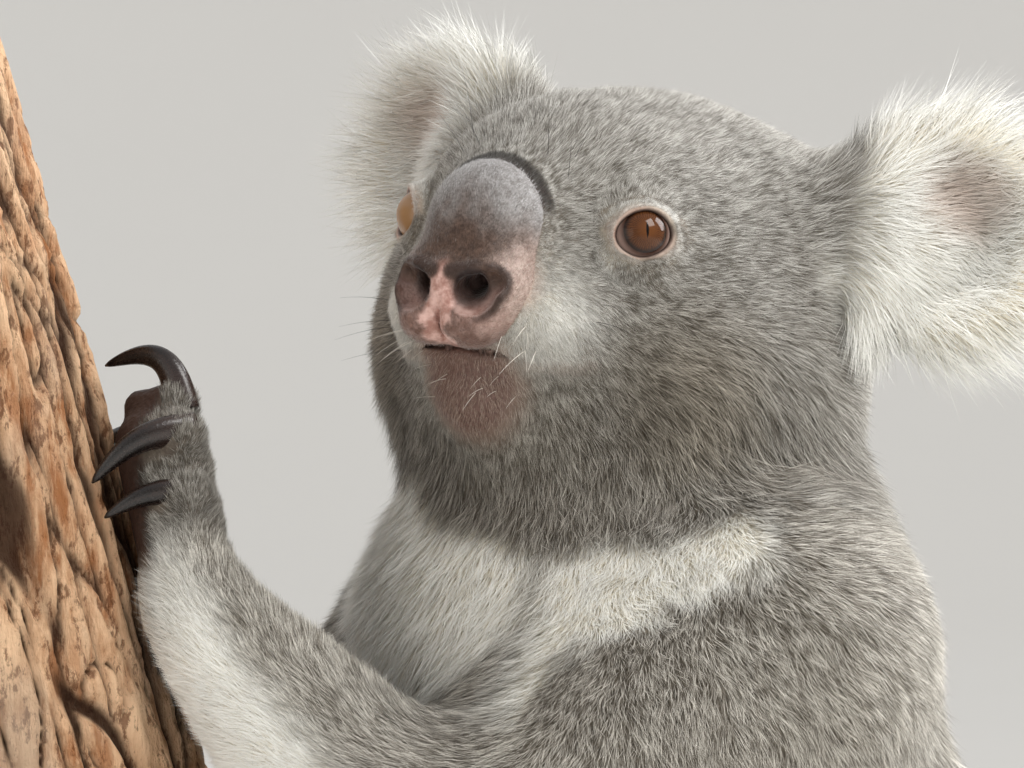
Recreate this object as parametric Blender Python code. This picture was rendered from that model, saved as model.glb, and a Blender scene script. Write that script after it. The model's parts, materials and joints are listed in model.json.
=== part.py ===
"""A life-size koala, sitting on a display stand with its hands round a short cut length of trunk.

Metres, +Z up. The origin is the middle of the stand's underside. The koala faces -Y and its left side is +X.
The coat's outer surface is one distance function, a smooth blend of rounded forms. It is meshed, thinned
and parted with thin knives at the joints. Eyes, nose, claws, perch and stand are solids of their own.
"""

import math

import bmesh
import bpy
import numpy as np
from mathutils import Euler, Matrix, Vector

# ---- driving dimensions -------------------------------------------------------------------------

GAP = 0.0003                                  # clearance between neighbouring solids
GRIP_GAP = 0.0012                             # clearance between the perch and the hands round it
STAND_SIZE = Vector((0.36, 0.48, 0.018))      # width, length and thickness of the flat base
STAND_CORNER = 0.030
FLOOR = STAND_SIZE.z + GAP                    # level of the flats that the koala sits on

HEAD = Vector((0.0, 0.040, 0.423))            # middle of the head
HEAD_TURN, HEAD_LIFT, HEAD_TILT = 23.0, -13.2, 5.2   # degrees: to its left, nose up, left ear down

PERCH_RADIUS = 0.055
PERCH_BOTTOM, PERCH_TOP = 0.038, 0.508        # levels of the trunk's two ends on its axis
PERCH_LEVEL, PERCH_AXIS = 0.373, Vector((-0.0815, -0.1288))   # where the axis passes at that level
PERCH_LEAN = Vector((-0.1646, -0.2351))       # how far the axis moves for each metre of height
GRIP_ZERO = 55.0                              # degrees from +X where grip angles, clockwise from above, begin

EYE_RADIUS = 0.0085
EYE_PLACE = Vector((0.0330, -0.0490, 0.0078))     # left eye, in the head's own axes
EYE_LOOK = Vector((0.70, -0.71, 0.06)).normalized()
NOSE_TOP, NOSE_TIP, NOSE_R = Vector((0, -0.0665, 0.0035)), Vector((0, -0.0675, -0.0130)), 0.0174
NOSE_WING, NOSE_WING_SIZE = Vector((0.0100, -0.0735, -0.0162)), Vector((0.0085, 0.0125, 0.0105))
NOSTRIL, NOSTRIL_SIZE = Vector((0.0105, -0.0850, -0.0165)), Vector((0.0050, 0.0060, 0.0062))
NOSE_BACK = -0.0570                           # level, nose to nape, of the nose's hidden flat back

EARS = {
    # name: (middle, turn about its own up, lift about its side) in the head's own axes
    "left": (Vector((0.087, 0.026, 0.033)), 24.0, 6.0),
    "right": (Vector((-0.081, 0.018, 0.041)), -18.0, 6.0),
}

CELL = 0.0042                                 # mesh size of the coat before thinning
BODY_TRIANGLES = 4600
HEAD_SHARE = 0.5                              # how strongly the thinning spares the face

head_turn = Euler([math.radians(a) for a in (HEAD_LIFT, HEAD_TILT, HEAD_TURN)], "YXZ").to_matrix()


def on_head(point):
    """A point given in the head's own axes, in the part's frame."""
    return HEAD + head_turn @ Vector(point)


def mirrored(point):
    return Vector((-point[0], point[1], point[2]))


def perch_centre(level):
    across = PERCH_AXIS + PERCH_LEAN * (level - PERCH_LEVEL)
    return Vector((across.x, across.y, level))


def on_perch(level, angle, out):
    """A point outside the trunk's bark, at a level, an angle round it and a distance out from it."""
    a = math.radians(GRIP_ZERO - angle)
    direction = Vector((math.cos(a), math.sin(a), 0.0))
    return perch_centre(level) + direction * (PERCH_RADIUS + out)


# ---- distance functions -------------------------------------------------------------------------

def ellipsoid(points, centre, radii):
    q = points - np.array(centre)
    r = np.array(radii)
    near = np.linalg.norm(q / r, axis=-1)
    slope = np.linalg.norm(q / (r * r), axis=-1)
    return near * (near - 1.0) / np.maximum(slope, 1e-9)


def cone(points, a, b, ra, rb):
    """A rounded limb between two points whose radius changes evenly from one to the other."""
    a, b = np.array(a), np.array(b)
    along = b - a
    share = np.clip((points - a) @ along / (along @ along), 0.0, 1.0)
    middle = a + share[..., None] * along
    return np.linalg.norm(points - middle, axis=-1) - (ra + share * (rb - ra))


def blend(d, other, width):
    """The smooth union of two distances, with a fillet of about this width."""
    share = np.clip(0.5 + 0.5 * (other - d) / width, 0.0, 1.0)
    return other * (1 - share) + d * share - width * share * (1 - share)


def hollow(d, other, width):
    """The first shape with the other smoothly taken away."""
    return -blend(-d, other, width)


# ---- the koala's form, out to the tips of its coat ----------------------------------------------

SHOULDER = Vector((0.064, 0.043, 0.328))
ELBOW_LEFT, ELBOW_RIGHT = Vector((0.041, -0.048, 0.272)), Vector((-0.112, -0.006, 0.245))
WRIST_LEFT, WRIST_RIGHT = on_perch(0.342, 20, 0.013), on_perch(0.290, -104, 0.014)
KNUCKLES_LEFT, KNUCKLES_RIGHT = on_perch(0.383, 14, 0.0125), on_perch(0.333, -123, 0.0125)
HIP = Vector((0.060, 0.100, 0.088))
KNEE_LEFT, KNEE_RIGHT = Vector((0.120, 0.018, 0.138)), Vector((-0.128, 0.018, 0.138))
ANKLE_LEFT, ANKLE_RIGHT = Vector((0.082, 0.022, 0.050)), Vector((-0.114, 0.022, 0.050))
SOLE_LEFT, SOLE_RIGHT = Vector((0.074, -0.044, 0.031)), Vector((-0.120, -0.044, 0.031))
FINGER_R, TOE_R = 0.0062, 0.0068

# Digits: knuckle, root of the claw, pad and tip of the claw, each a level, an angle round the trunk
# and a distance out from its bark. Then the claw's half-depth and its arch.
FINGERS_LEFT = {
    "digit3": ((0.385, 12, 0.016), (0.3945, 11, 0.0195),
               (0.3940, 9, 0.0105), (0.4050, 5, 0.0028), 0.0044, 0.42),
    "digit4": ((0.377, 14, 0.018), (0.3865, 19, 0.0228),
               (0.3860, 13, 0.0110), (0.3745, 33, 0.0015), 0.0048, 0.22),
    "digit5": ((0.363, 14, 0.0165), (0.3705, 21, 0.0208),
               (0.3725, 13, 0.0105), (0.3655, 32, 0.0015), 0.0042, 0.18),
    "digit1": ((0.356, -6, 0.012), (0.3540, -24, 0.0130),
               (0.352, -28, 0.0080), (0.3480, -48, 0.0015), 0.0036, 0.30),
    "digit2": ((0.376, -4, 0.012), (0.3800, -22, 0.0130),
               (0.379, -26, 0.0080), (0.3800, -46, 0.0015), 0.0038, 0.30),
}


def head_form(points):
    """The head without its ears, in its own axes: +X its left, -Y its nose, +Z its crown."""
    q = points.copy()
    q[..., 0] = np.abs(q[..., 0])
    d = ellipsoid(q, (0, 0.010, 0.006), (0.062, 0.066, 0.053))
    d = blend(d, ellipsoid(q, (0, -0.034, 0.012), (0.036, 0.034, 0.031)), 0.018)
    d = blend(d, ellipsoid(q, (0, -0.059, 0.008), (0.0195, 0.0205, 0.017)), 0.010)
    d = blend(d, ellipsoid(q, (0.040, 0.016, 0.021), (0.024, 0.028, 0.024)), 0.014)
    d = blend(d, ellipsoid(q, (0.031, -0.004, -0.020), (0.034, 0.042, 0.038)), 0.018)
    d = blend(d, ellipsoid(q, (0, -0.046, -0.015), (0.032, 0.031, 0.027)), 0.012)
    d = blend(d, ellipsoid(q, (0.012, -0.060, -0.020), (0.017, 0.016, 0.012)), 0.006)
    d = blend(d, ellipsoid(q, (0, -0.012, -0.036), (0.044, 0.044, 0.029)), 0.014)
    d = blend(d, ellipsoid(q, (0, -0.0500, -0.0350), (0.0185, 0.0195, 0.0180)), 0.004)
    d = blend(d, nose_rise(q) + 0.0008, 0.004)
    socket = np.array(EYE_PLACE + EYE_LOOK * 0.0155)
    return hollow(d, np.linalg.norm(q - socket, axis=-1) - 0.0105, 0.008)


def nose_rise(q):
    """The rounded block of the nose, in the head's axes, for points on its left half."""
    d = cone(q, NOSE_TOP, NOSE_TIP, NOSE_R, NOSE_R)
    return blend(d, ellipsoid(q, NOSE_WING, NOSE_WING_SIZE), 0.005)


def ear_form(points):
    """Both ears with their fringes, in the head's axes: round, thick discs that face forward."""
    d = None
    for middle, turn, lift in EARS.values():
        facing = Euler([math.radians(a) for a in (lift, 0, turn)]).to_matrix()
        side = 1.0 if middle.x > 0 else -1.0
        local = (points - np.array(middle)) @ np.array(facing)
        ear = ellipsoid(local, (0, 0, 0), (0.040, 0.016, 0.040))
        ear = blend(ear, ellipsoid(local, (-0.008 * side, 0.002, -0.016), (0.033, 0.015, 0.029)), 0.010)
        d = ear if d is None else np.minimum(d, ear)
    return d


def bend(a, b, c):
    """The way across a bent joint at b, halfway between its two limbs."""
    return (b - a).normalized() + (c - b).normalized()


def digits(hand):
    """Knuckle, claw root and pad of each digit of a hand."""
    return [tuple(on_perch(*place) for place in places[:3]) for places in hand.values()]


def body_form(points):
    """Distance of each point from the coat's outer surface, flat where it rests, hollow where it grips."""
    on = (points - np.array(HEAD)) @ np.array(head_turn)
    head = blend(head_form(on), ear_form(on), 0.010)
    d = ellipsoid(points, (0, 0.047, 0.318), (0.084, 0.077, 0.084))
    d = blend(d, ellipsoid(points, (0, 0.074, 0.222), (0.090, 0.084, 0.105)), 0.030)
    d = blend(d, ellipsoid(points, (0, 0.100, 0.112), (0.100, 0.098, 0.097)), 0.030)
    d = blend(d, cone(points, (0, 0.046, 0.388), (0, 0.046, 0.335), 0.059, 0.070), 0.018)
    d = blend(d, head, 0.014)
    arms = (
        (SHOULDER, ELBOW_LEFT, WRIST_LEFT, KNUCKLES_LEFT),
        (mirrored(SHOULDER), ELBOW_RIGHT, WRIST_RIGHT, KNUCKLES_RIGHT),
    )
    for shoulder, elbow, wrist, knuckles in arms:
        d = blend(d, cone(points, shoulder, elbow, 0.043, 0.034), 0.022)
        d = blend(d, cone(points, elbow, wrist, 0.034, 0.0165), 0.014)
        d = blend(d, cone(points, wrist, knuckles, 0.0135, 0.0125), 0.008)
    hands = (
        (WRIST_LEFT.lerp(KNUCKLES_LEFT, 0.5), FINGERS_LEFT),
        (WRIST_RIGHT.lerp(KNUCKLES_RIGHT, 0.5), fingers_right),
    )
    for palm, hand in hands:
        for knuckle, root, pad in digits(hand):
            d = blend(d, cone(points, palm, knuckle, 0.0085, FINGER_R + 0.0012), 0.005)
            d = blend(d, cone(points, knuckle, root, FINGER_R + 0.0008, FINGER_R), 0.004)
            d = blend(d, cone(points, root, pad, FINGER_R, FINGER_R - 0.0004), 0.004)
    legs = (
        (HIP, KNEE_LEFT, ANKLE_LEFT, SOLE_LEFT),
        (mirrored(HIP), KNEE_RIGHT, ANKLE_RIGHT, SOLE_RIGHT),
    )
    for hip, knee, ankle, sole in legs:
        d = blend(d, cone(points, hip, knee, 0.062, 0.046), 0.030)
        d = blend(d, cone(points, knee, ankle, 0.044, 0.025), 0.018)
        d = blend(d, cone(points, ankle - Vector((0, 0, 0.014)), sole, 0.022, 0.0165), 0.012)
        for a, b, *_ in toes(sole):
            d = blend(d, cone(points, a, b, TOE_R + 0.001, TOE_R), 0.006)
    perch = cone(points, perch_centre(PERCH_BOTTOM), perch_centre(PERCH_TOP), PERCH_RADIUS, PERCH_RADIUS)
    return np.maximum(np.maximum(d, GRIP_GAP - perch), FLOOR - points[..., 2])


def right_grip():
    """The right hand's digits: the left hand's, turned to the other side of the trunk and set lower."""
    turned = {}
    for name, (*places, size, arch) in FINGERS_LEFT.items():
        moved = [(level - 0.050, -110 - angle, out) for level, angle, out in places]
        turned[name] = (*moved, size, arch)
    return turned


def toes(sole):
    """Ball and tip of each toe, whether it has a claw, and which way it points, for one foot."""
    side = 1.0 if sole.x > 0 else -1.0
    spread = {"toe1": (-0.86, 0.012), "toe2": (-0.30, 0.026), "toe4": (0.06, 0.032), "toe5": (0.40, 0.029)}
    made = []
    for name, (turn, length) in spread.items():
        way = Vector((side * math.sin(turn), -math.cos(turn), 0))
        ball = sole + way * 0.010 + Vector((-side * 0.006 if name == "toe1" else 0, 0, -0.003))
        made.append((ball, ball + way * length + Vector((0, 0, -0.0015)), name, way))
    return made


fingers_right = right_grip()


# ---- meshing ------------------------------------------------------------------------------------

def surface_nets(values, low, cell):
    """Points and quads of the zero surface of a grid of distances, one point in each cell it crosses."""
    inside = values < 0
    corners = [(i, j, k) for i in (0, 1) for j in (0, 1) for k in (0, 1)]
    size = [n - 1 for n in values.shape]

    def at(grid, corner):
        return grid[tuple(slice(c, c + n) for c, n in zip(corner, size))]

    count = sum(at(inside, c).astype(np.int8) for c in corners)
    crossed = (count > 0) & (count < 8)
    cells = np.argwhere(crossed)
    index = np.full(size, -1)
    index[crossed] = np.arange(len(cells))
    total, hits = np.zeros((len(cells), 3)), np.zeros(len(cells))
    for a in corners:
        for axis in range(3):
            if a[axis]:
                continue
            b = tuple(c + (n == axis) for n, c in enumerate(a))
            va, vb = at(values, a)[crossed], at(values, b)[crossed]
            cut = (va < 0) != (vb < 0)
            share = np.where(cut, va / np.where(cut, va - vb, 1), 0)
            place = np.repeat([a], len(cells), 0).astype(float)
            place[:, axis] += share
            total += place * cut[:, None]
            hits += cut
    points = np.array(low) + (cells + total / hits[:, None]) * cell
    quads = []
    for axis in range(3):
        u, v = (axis + 1) % 3, (axis + 2) % 3
        first = [slice(1, -1)] * 3
        first[axis] = slice(0, -1)
        second = list(first)
        second[axis] = slice(1, None)
        a, b = inside[tuple(first)], inside[tuple(second)]
        start = np.argwhere(a != b) + np.array([0 if n == axis else 1 for n in range(3)])
        out = a[a != b]
        ring = []
        for du, dv in ((-1, -1), (0, -1), (0, 0), (-1, 0)):
            cell_of = start.copy()
            cell_of[:, u] += du
            cell_of[:, v] += dv
            ring.append(index[tuple(cell_of.T)])
        ring = np.stack(ring, axis=1)
        quads.append(np.where(out[:, None], ring, ring[:, ::-1]))
    return points, np.concatenate(quads)


def untangled(values, least):
    """The grid with every checkerboard of four neighbours opened, so that its surface never meets itself."""
    faces = ((0, 1), (0, 2), (1, 2))
    while True:
        found = 0
        for face in faces:
            at = {}
            for du in (0, 1):
                for dv in (0, 1):
                    part = [slice(None)] * 3
                    part[face[0]] = slice(du, values.shape[face[0]] - 1 + du)
                    part[face[1]] = slice(dv, values.shape[face[1]] - 1 + dv)
                    at[du, dv] = values[tuple(part)]
            one = (at[0, 0] < 0) & (at[1, 1] < 0) & (at[0, 1] >= 0) & (at[1, 0] >= 0)
            two = (at[0, 1] < 0) & (at[1, 0] < 0) & (at[0, 0] >= 0) & (at[1, 1] >= 0)
            for wrong, corners in ((one, ((0, 0), (1, 1))), (two, ((0, 1), (1, 0)))):
                found += int(wrong.sum())
                thinner = at[corners[0]] > at[corners[1]]
                at[corners[0]][wrong & thinner] = least
                at[corners[1]][wrong & ~thinner] = least
        if not found:
            return values


def meshed(form, low, high, cell, name):
    """A mesh of a distance function's zero surface inside a box."""
    counts = [int(math.ceil((h - l) / cell)) + 1 for l, h in zip(low, high)]
    axes = [l + cell * np.arange(n) for l, n in zip(low, counts)]
    layers = []
    for x in axes[0]:
        grid = np.stack(np.meshgrid([x], axes[1], axes[2], indexing="ij"), axis=-1)
        layers.append(form(grid)[0])
    points, quads = surface_nets(untangled(np.stack(layers), 0.05 * cell), low, cell)
    points = settled(form, points)
    mesh = bpy.data.meshes.new(name)
    mesh.from_pydata(points.tolist(), [], quads.tolist())
    return mesh


def settled(form, points, rounds=3, step=1e-4):
    """The points moved onto the zero surface, by Newton steps along its slope."""
    for _ in range(rounds):
        here = form(points)
        slope = np.stack([form(points + step * e) - here for e in np.eye(3)], axis=-1) / step
        points = points - slope * (here / np.maximum((slope**2).sum(-1), 0.25))[:, None]
    return points


# ---- objects ------------------------------------------------------------------------------------

materials = {}


def material(name, colour, roughness, metallic=0.0):
    if name not in materials:
        made = bpy.data.materials.new(name)
        made.use_nodes = True
        shader = made.node_tree.nodes["Principled BSDF"]
        shader.inputs["Base Color"].default_value = (*colour, 1.0)
        shader.inputs["Roughness"].default_value = roughness
        shader.inputs["Metallic"].default_value = metallic
        materials[name] = made
    return materials[name]


FUR = ("fur", (0.33, 0.31, 0.27), 0.9)
HORN = ("claw", (0.018, 0.010, 0.008), 0.25)
LEATHER = ("nose_leather", (0.09, 0.055, 0.045), 0.5)
EYE = ("eye", (0.12, 0.055, 0.022), 0.08)
BARK = ("bark", (0.36, 0.20, 0.11), 0.95)
BOARD = ("stand_board", (0.72, 0.70, 0.66), 0.5)
STEEL = ("stand_steel", (0.55, 0.55, 0.56), 0.35, 1.0)


def add(mesh, name, look, shown=True):
    made = bpy.data.objects.new(name, mesh)
    bpy.context.scene.collection.objects.link(made)
    mesh.materials.clear()
    mesh.materials.append(material(*look))
    if not shown:
        made.hide_render = True
        made.display_type = "WIRE"
    return made


def from_bmesh(bm, name):
    mesh = bpy.data.meshes.new(name)
    bmesh.ops.recalc_face_normals(bm, faces=bm.faces)
    bm.to_mesh(mesh)
    bm.free()
    return mesh


def applied(obj):
    """The object's mesh as its modifiers leave it, put in place of its own."""
    graph = bpy.context.evaluated_depsgraph_get()
    made = bpy.data.meshes.new_from_object(obj.evaluated_get(graph))
    obj.modifiers.clear()
    obj.data = made
    return obj


def boolean(obj, other, operation="DIFFERENCE"):
    cut = obj.modifiers.new(operation.title(), "BOOLEAN")
    cut.operation = operation
    cut.object = other
    return applied(obj)


# ---- claws --------------------------------------------------------------------------------------

CLAW_SIDES, CLAW_RINGS = 6, 5


def claw_mesh(base, tip, up, thickness, arch, grow=0.0):
    """A horn that bows from its base to a point, taller than it is wide. Grow makes its cutter."""
    base, tip = Vector(base), Vector(tip)
    along = tip - base
    up = (Vector(up) - along * (Vector(up).dot(along) / along.length_squared)).normalized()
    side = along.cross(up).normalized()
    bm = bmesh.new()
    rings = []
    for n in range(CLAW_RINGS):
        t = n / CLAW_RINGS
        bow = math.sin(math.pi * (0.12 + 0.88 * t)) - math.sin(math.pi * 0.12) * (1 - t)
        centre = base + along * t + up * (along.length * arch * bow)
        ahead = along / along.length + up * (arch * math.pi * 0.88 * math.cos(math.pi * (0.12 + 0.88 * t)))
        rise = side.cross(ahead).normalized()
        size = thickness * (1 - t) ** 0.55 + grow
        ring = []
        for s in range(CLAW_SIDES):
            a = 2 * math.pi * s / CLAW_SIDES
            spot = centre + rise * (size * math.sin(a)) + side * (0.72 * size * math.cos(a))
            ring.append(bm.verts.new(spot))
        rings.append(ring)
    point = bm.verts.new(tip + along.normalized() * grow * 3)
    for near, far in zip(rings, rings[1:]):
        for s in range(CLAW_SIDES):
            t = (s + 1) % CLAW_SIDES
            bm.faces.new((near[s], near[t], far[t], far[s]))
    for s in range(CLAW_SIDES):
        bm.faces.new((rings[-1][s], rings[-1][(s + 1) % CLAW_SIDES], point))
    bm.faces.new(rings[0])
    return from_bmesh(bm, "claw")


def claw_list():
    """Name, base, tip, up, thickness and arch of every claw."""
    made = []
    for side, hand in (("left", FINGERS_LEFT), ("right", fingers_right)):
        for name, (_, root, _, tip, size, arch) in hand.items():
            level, angle, out = root
            up = on_perch(level + 0.006 + arch * 0.03, angle, out + 0.012) - on_perch(*root)
            made.append((f"claw_hand_{side}_{name}", on_perch(*root), on_perch(*tip), up, size, arch))
    for side, sole in (("left", SOLE_LEFT), ("right", SOLE_RIGHT)):
        for ball, end, name, way in toes(sole):
            if name == "toe1":
                continue
            small = 0.72 if name == "toe2" else 1.0
            tip = end + way * 0.021 * small + Vector((0, 0, -0.0075))
            tip.z = max(tip.z, FLOOR + 0.0015)
            base = end + way * 0.001 + Vector((0, 0, 0.0025))
            made.append((f"claw_foot_{side}_{name}", base, tip, (0, 0, 1), 0.0044 * small, 0.24))
    return made


# ---- the parts ----------------------------------------------------------------------------------

def coat():
    """The whole furred body as one thinned mesh."""
    mesh = meshed(body_form, (-0.19, -0.19, FLOOR - 0.012), (0.17, 0.24, 0.53), CELL, "coat")
    body = add(mesh, "torso", FUR)
    spare = body.vertex_groups.new(name="spare")
    for v in mesh.vertices:
        on = head_turn.transposed() @ (v.co - HEAD)
        face = max(0.0, 1 - max(0.0, (Vector((0, -0.045, -0.008)) - on).length - 0.035) / 0.05)
        ear = 0.05 if abs(on.x) > 0.05 and on.z > 0 else 0.0
        hand = min((v.co - k).length for k in (KNUCKLES_LEFT, KNUCKLES_RIGHT)) < 0.045
        fine = max(0.12 * face, ear, 0.05 * hand)
        spare.add([v.index], 1 - fine, "REPLACE")
    thin = body.modifiers.new("Thin", "DECIMATE")
    thin.ratio = BODY_TRIANGLES / (2 * len(mesh.polygons))
    thin.vertex_group = "spare"
    thin.vertex_group_factor = HEAD_SHARE
    return applied(body)


def block(middle, half, planes, grow=0.0):
    """A box cut down by planes, each a point on it and the way it faces. Grow moves the planes out."""
    bm = bmesh.new()
    size = Matrix.Diagonal((2 * half[0], 2 * half[1], 2 * half[2], 1.0))
    bmesh.ops.create_cube(bm, size=1.0, matrix=Matrix.Translation(Vector(middle)) @ size)
    for place, way in planes:
        way = Vector(way).normalized()
        geom = bm.verts[:] + bm.edges[:] + bm.faces[:]
        cut = bmesh.ops.bisect_plane(bm, geom=geom, plane_co=Vector(place) + way * grow, plane_no=way,
                                     clear_outer=True)
        rim = [e for e in cut["geom_cut"] if isinstance(e, bmesh.types.BMEdge)]
        bmesh.ops.contextual_create(bm, geom=rim)
    return add(from_bmesh(bm, "block"), "block", STEEL, shown=False)


def parted(whole, name, middle, half, planes):
    """What of a solid lies inside a block, as a solid of its own. A thin gap is left between the two."""
    piece = add(whole.data.copy(), name, FUR)
    boolean(piece, block(middle, half, planes, -GAP / 2), "INTERSECT")
    boolean(whole, block(middle, half, planes, GAP / 2))
    tidied(piece)
    return piece


def tidied(obj, least=1e-6):
    """The object without crumbs: closed scraps of less than this volume."""
    bm = bmesh.new()
    bm.from_mesh(obj.data)
    for group in islands(bm):
        bulk = bmesh.new()
        copied = {}
        for face in group:
            for v in face.verts:
                if v not in copied:
                    copied[v] = bulk.verts.new(v.co)
            corners = [copied[v] for v in face.verts]
            if bulk.faces.get(corners) is None:
                bulk.faces.new(corners)
        if abs(bulk.calc_volume()) < least:
            bmesh.ops.delete(bm, geom=list(group), context="FACES")
        bulk.free()
    loose = [v for v in bm.verts if not v.link_faces]
    bmesh.ops.delete(bm, geom=loose, context="VERTS")
    bm.to_mesh(obj.data)
    bm.free()


def islands(bm):
    """The separate shells of a bmesh, each as a set of faces."""
    left, groups = set(bm.faces), []
    while left:
        stack = [left.pop()]
        group = set(stack)
        while stack:
            for edge in stack.pop().edges:
                for near in edge.link_faces:
                    if near in left:
                        left.remove(near)
                        group.add(near)
                        stack.append(near)
        groups.append(group)
    return groups


def sphere_mesh(centre, radius, rings=7):
    bm = bmesh.new()
    bmesh.ops.create_uvsphere(bm, u_segments=2 * rings, v_segments=rings, radius=radius,
                              matrix=Matrix.Translation(Vector(centre)))
    return from_bmesh(bm, "ball")


def nose_form(points):
    """The bare nose: a long oval whose lower end carries the nostrils."""
    on = (points - np.array(HEAD)) @ np.array(head_turn)
    on[..., 0] = np.abs(on[..., 0])
    d = np.maximum(nose_rise(on), on[..., 1] - NOSE_BACK)
    return hollow(d, ellipsoid(on, NOSTRIL, NOSTRIL_SIZE), 0.002)


def nose():
    """The nose, and its cutter: the same mesh with every point moved out by the gap."""
    centre = on_head((0, -0.066, -0.004))
    reach = Vector((0.036, 0.036, 0.036))
    made = add(meshed(nose_form, centre - reach, centre + reach, 0.0026, "nose"), "nose", LEATHER)
    thin = made.modifiers.new("Thin", "DECIMATE")
    thin.ratio = 0.11
    applied(made)
    cutter = add(made.data.copy(), "nose_cut", LEATHER, shown=False)
    for v in cutter.data.vertices:
        v.co += made.data.vertices[v.index].normal * (1.5 * GAP)
    return cutter


def perch(sides=20):
    """The cut length of trunk: a leaning round with shallow furrows down its bark."""
    bm = bmesh.new()
    rings = []
    for level in np.linspace(PERCH_BOTTOM, PERCH_TOP, 5):
        centre = perch_centre(level)
        swell = 1.0 + 0.05 * max(0.0, 1 - (level - PERCH_BOTTOM) / 0.15)
        ring = []
        for s in range(sides):
            a = 2 * math.pi * s / sides
            r = PERCH_RADIUS * swell - (0.0014 if s % 2 else 0.0)
            ring.append(bm.verts.new(centre + Vector((math.cos(a), math.sin(a), 0)) * r))
        rings.append(ring)
    for near, far in zip(rings, rings[1:]):
        for s in range(sides):
            t = (s + 1) % sides
            bm.faces.new((near[s], near[t], far[t], far[s]))
    bm.faces.new(rings[0])
    bm.faces.new(rings[-1])
    add(from_bmesh(bm, "perch_trunk"), "perch_trunk", BARK)


def stand():
    bm = bmesh.new()
    bmesh.ops.create_cube(bm, size=1.0, matrix=Matrix.Translation((0, 0, STAND_SIZE.z / 2))
                          @ Matrix.Diagonal((*STAND_SIZE, 1.0)))
    upright = [e for e in bm.edges if abs(e.verts[0].co.z - e.verts[1].co.z) > STAND_SIZE.z / 2]
    bmesh.ops.bevel(bm, geom=upright, offset=STAND_CORNER, segments=5, affect="EDGES", profile=0.5)
    add(from_bmesh(bm, "stand_base"), "stand_base", BOARD)
    foot = perch_centre(PERCH_BOTTOM)
    bm = bmesh.new()
    height = PERCH_BOTTOM - STAND_SIZE.z - 2 * GAP
    bmesh.ops.create_cone(bm, cap_ends=True, segments=20, radius1=0.014, radius2=0.014, depth=height,
                          matrix=Matrix.Translation((foot.x, foot.y, STAND_SIZE.z + GAP + height / 2)))
    add(from_bmesh(bm, "stand_rod"), "stand_rod", STEEL)


CUTS = {
    # name of each new part: (the part it comes from, middle and half-size of a block, planes that trim it)
    "thigh_left": ("torso", (0.120, 0.000, 0.100), (0.115, 0.110, 0.110), (
        ((0.068, 0.060, 0.110), (-0.62, 0.78, -0.10)),
        ((0.086, 0.020, 0.190), (-0.30, -0.05, 1.0)),
    )),
    "thigh_right": ("torso", (-0.125, 0.000, 0.100), (0.115, 0.110, 0.110), (
        ((-0.070, 0.060, 0.110), (0.62, 0.78, -0.10)),
        ((-0.092, 0.020, 0.190), (0.30, -0.05, 1.0)),
    )),
    "hand_left": ("torso", (-0.045, -0.098, 0.365), (0.058, 0.054, 0.065), (
        (WRIST_LEFT.lerp(ELBOW_LEFT, 0.12), ELBOW_LEFT - KNUCKLES_LEFT),
    )),
    "hand_right": ("torso", (-0.150, -0.120, 0.320), (0.060, 0.060, 0.065), (
        (WRIST_RIGHT.lerp(ELBOW_RIGHT, 0.12), ELBOW_RIGHT - KNUCKLES_RIGHT),
    )),
    "upper_arm_left": ("torso", (0.010, -0.100, 0.310), (0.098, 0.095, 0.110), (
        (SHOULDER.lerp(ELBOW_LEFT, 0.62), (-0.32, 0.90, 0.30)),
    )),
    "upper_arm_right": ("torso", (-0.135, -0.085, 0.290), (0.080, 0.110, 0.110), (
        (mirrored(SHOULDER).lerp(ELBOW_RIGHT, 0.70), (0.75, 0.55, 0.35)),
    )),
    "ear_left": ("torso", on_head((0.090, 0.026, 0.036)), (0.070, 0.070, 0.070), (
        (on_head((0.0560, 0.020, 0.036)), head_turn @ Vector((-0.86, 0.02, -0.50))),
    )),
    "ear_right": ("torso", on_head((-0.090, 0.020, 0.042)), (0.070, 0.070, 0.070), (
        (on_head((-0.0540, 0.016, 0.042)), head_turn @ Vector((0.86, 0.02, -0.50))),
    )),
    "head": ("torso", (0, 0.030, 0.450), (0.160, 0.140, 0.130), (
        ((0, 0.046, 0.373), (0.08, 0.27, -0.9)),
    )),
    "neck": ("torso", (0, 0.046, 0.430), (0.110, 0.120, 0.110), (
        ((0, 0.046, 0.343), (0.0, 0.22, -1.0)),
        ((0.066, 0.046, 0.365), (0.85, 0.0, -0.5)),
        ((-0.066, 0.046, 0.365), (-0.85, 0.0, -0.5)),
    )),
    "shank_left": ("thigh_left", (0.110, 0.000, 0.060), (0.120, 0.140, 0.120), (
        (KNEE_LEFT + Vector((-0.006, 0.004, -0.024)), (0.25, 0.10, 0.95)),
    )),
    "shank_right": ("thigh_right", (-0.115, 0.000, 0.060), (0.120, 0.140, 0.120), (
        (KNEE_RIGHT + Vector((0.004, 0.004, -0.024)), (-0.12, 0.10, 0.95)),
    )),
    "foot_left": ("shank_left", (0.080, -0.040, 0.040), (0.120, 0.140, 0.120), (
        (ANKLE_LEFT + Vector((0, -0.010, -0.004)), (0.05, 0.86, 0.50)),
    )),
    "foot_right": ("shank_right", (-0.120, -0.040, 0.040), (0.120, 0.140, 0.120), (
        (ANKLE_RIGHT + Vector((0, -0.010, -0.004)), (-0.05, 0.86, 0.50)),
    )),
    "forearm_left": ("upper_arm_left", (0, -0.110, 0.310), (0.140, 0.140, 0.140), (
        (ELBOW_LEFT, -bend(SHOULDER, ELBOW_LEFT, WRIST_LEFT)),
    )),
    "forearm_right": ("upper_arm_right", (-0.130, -0.090, 0.280), (0.140, 0.140, 0.140), (
        (ELBOW_RIGHT, -bend(mirrored(SHOULDER), ELBOW_RIGHT, WRIST_RIGHT)),
    )),
}


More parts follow.
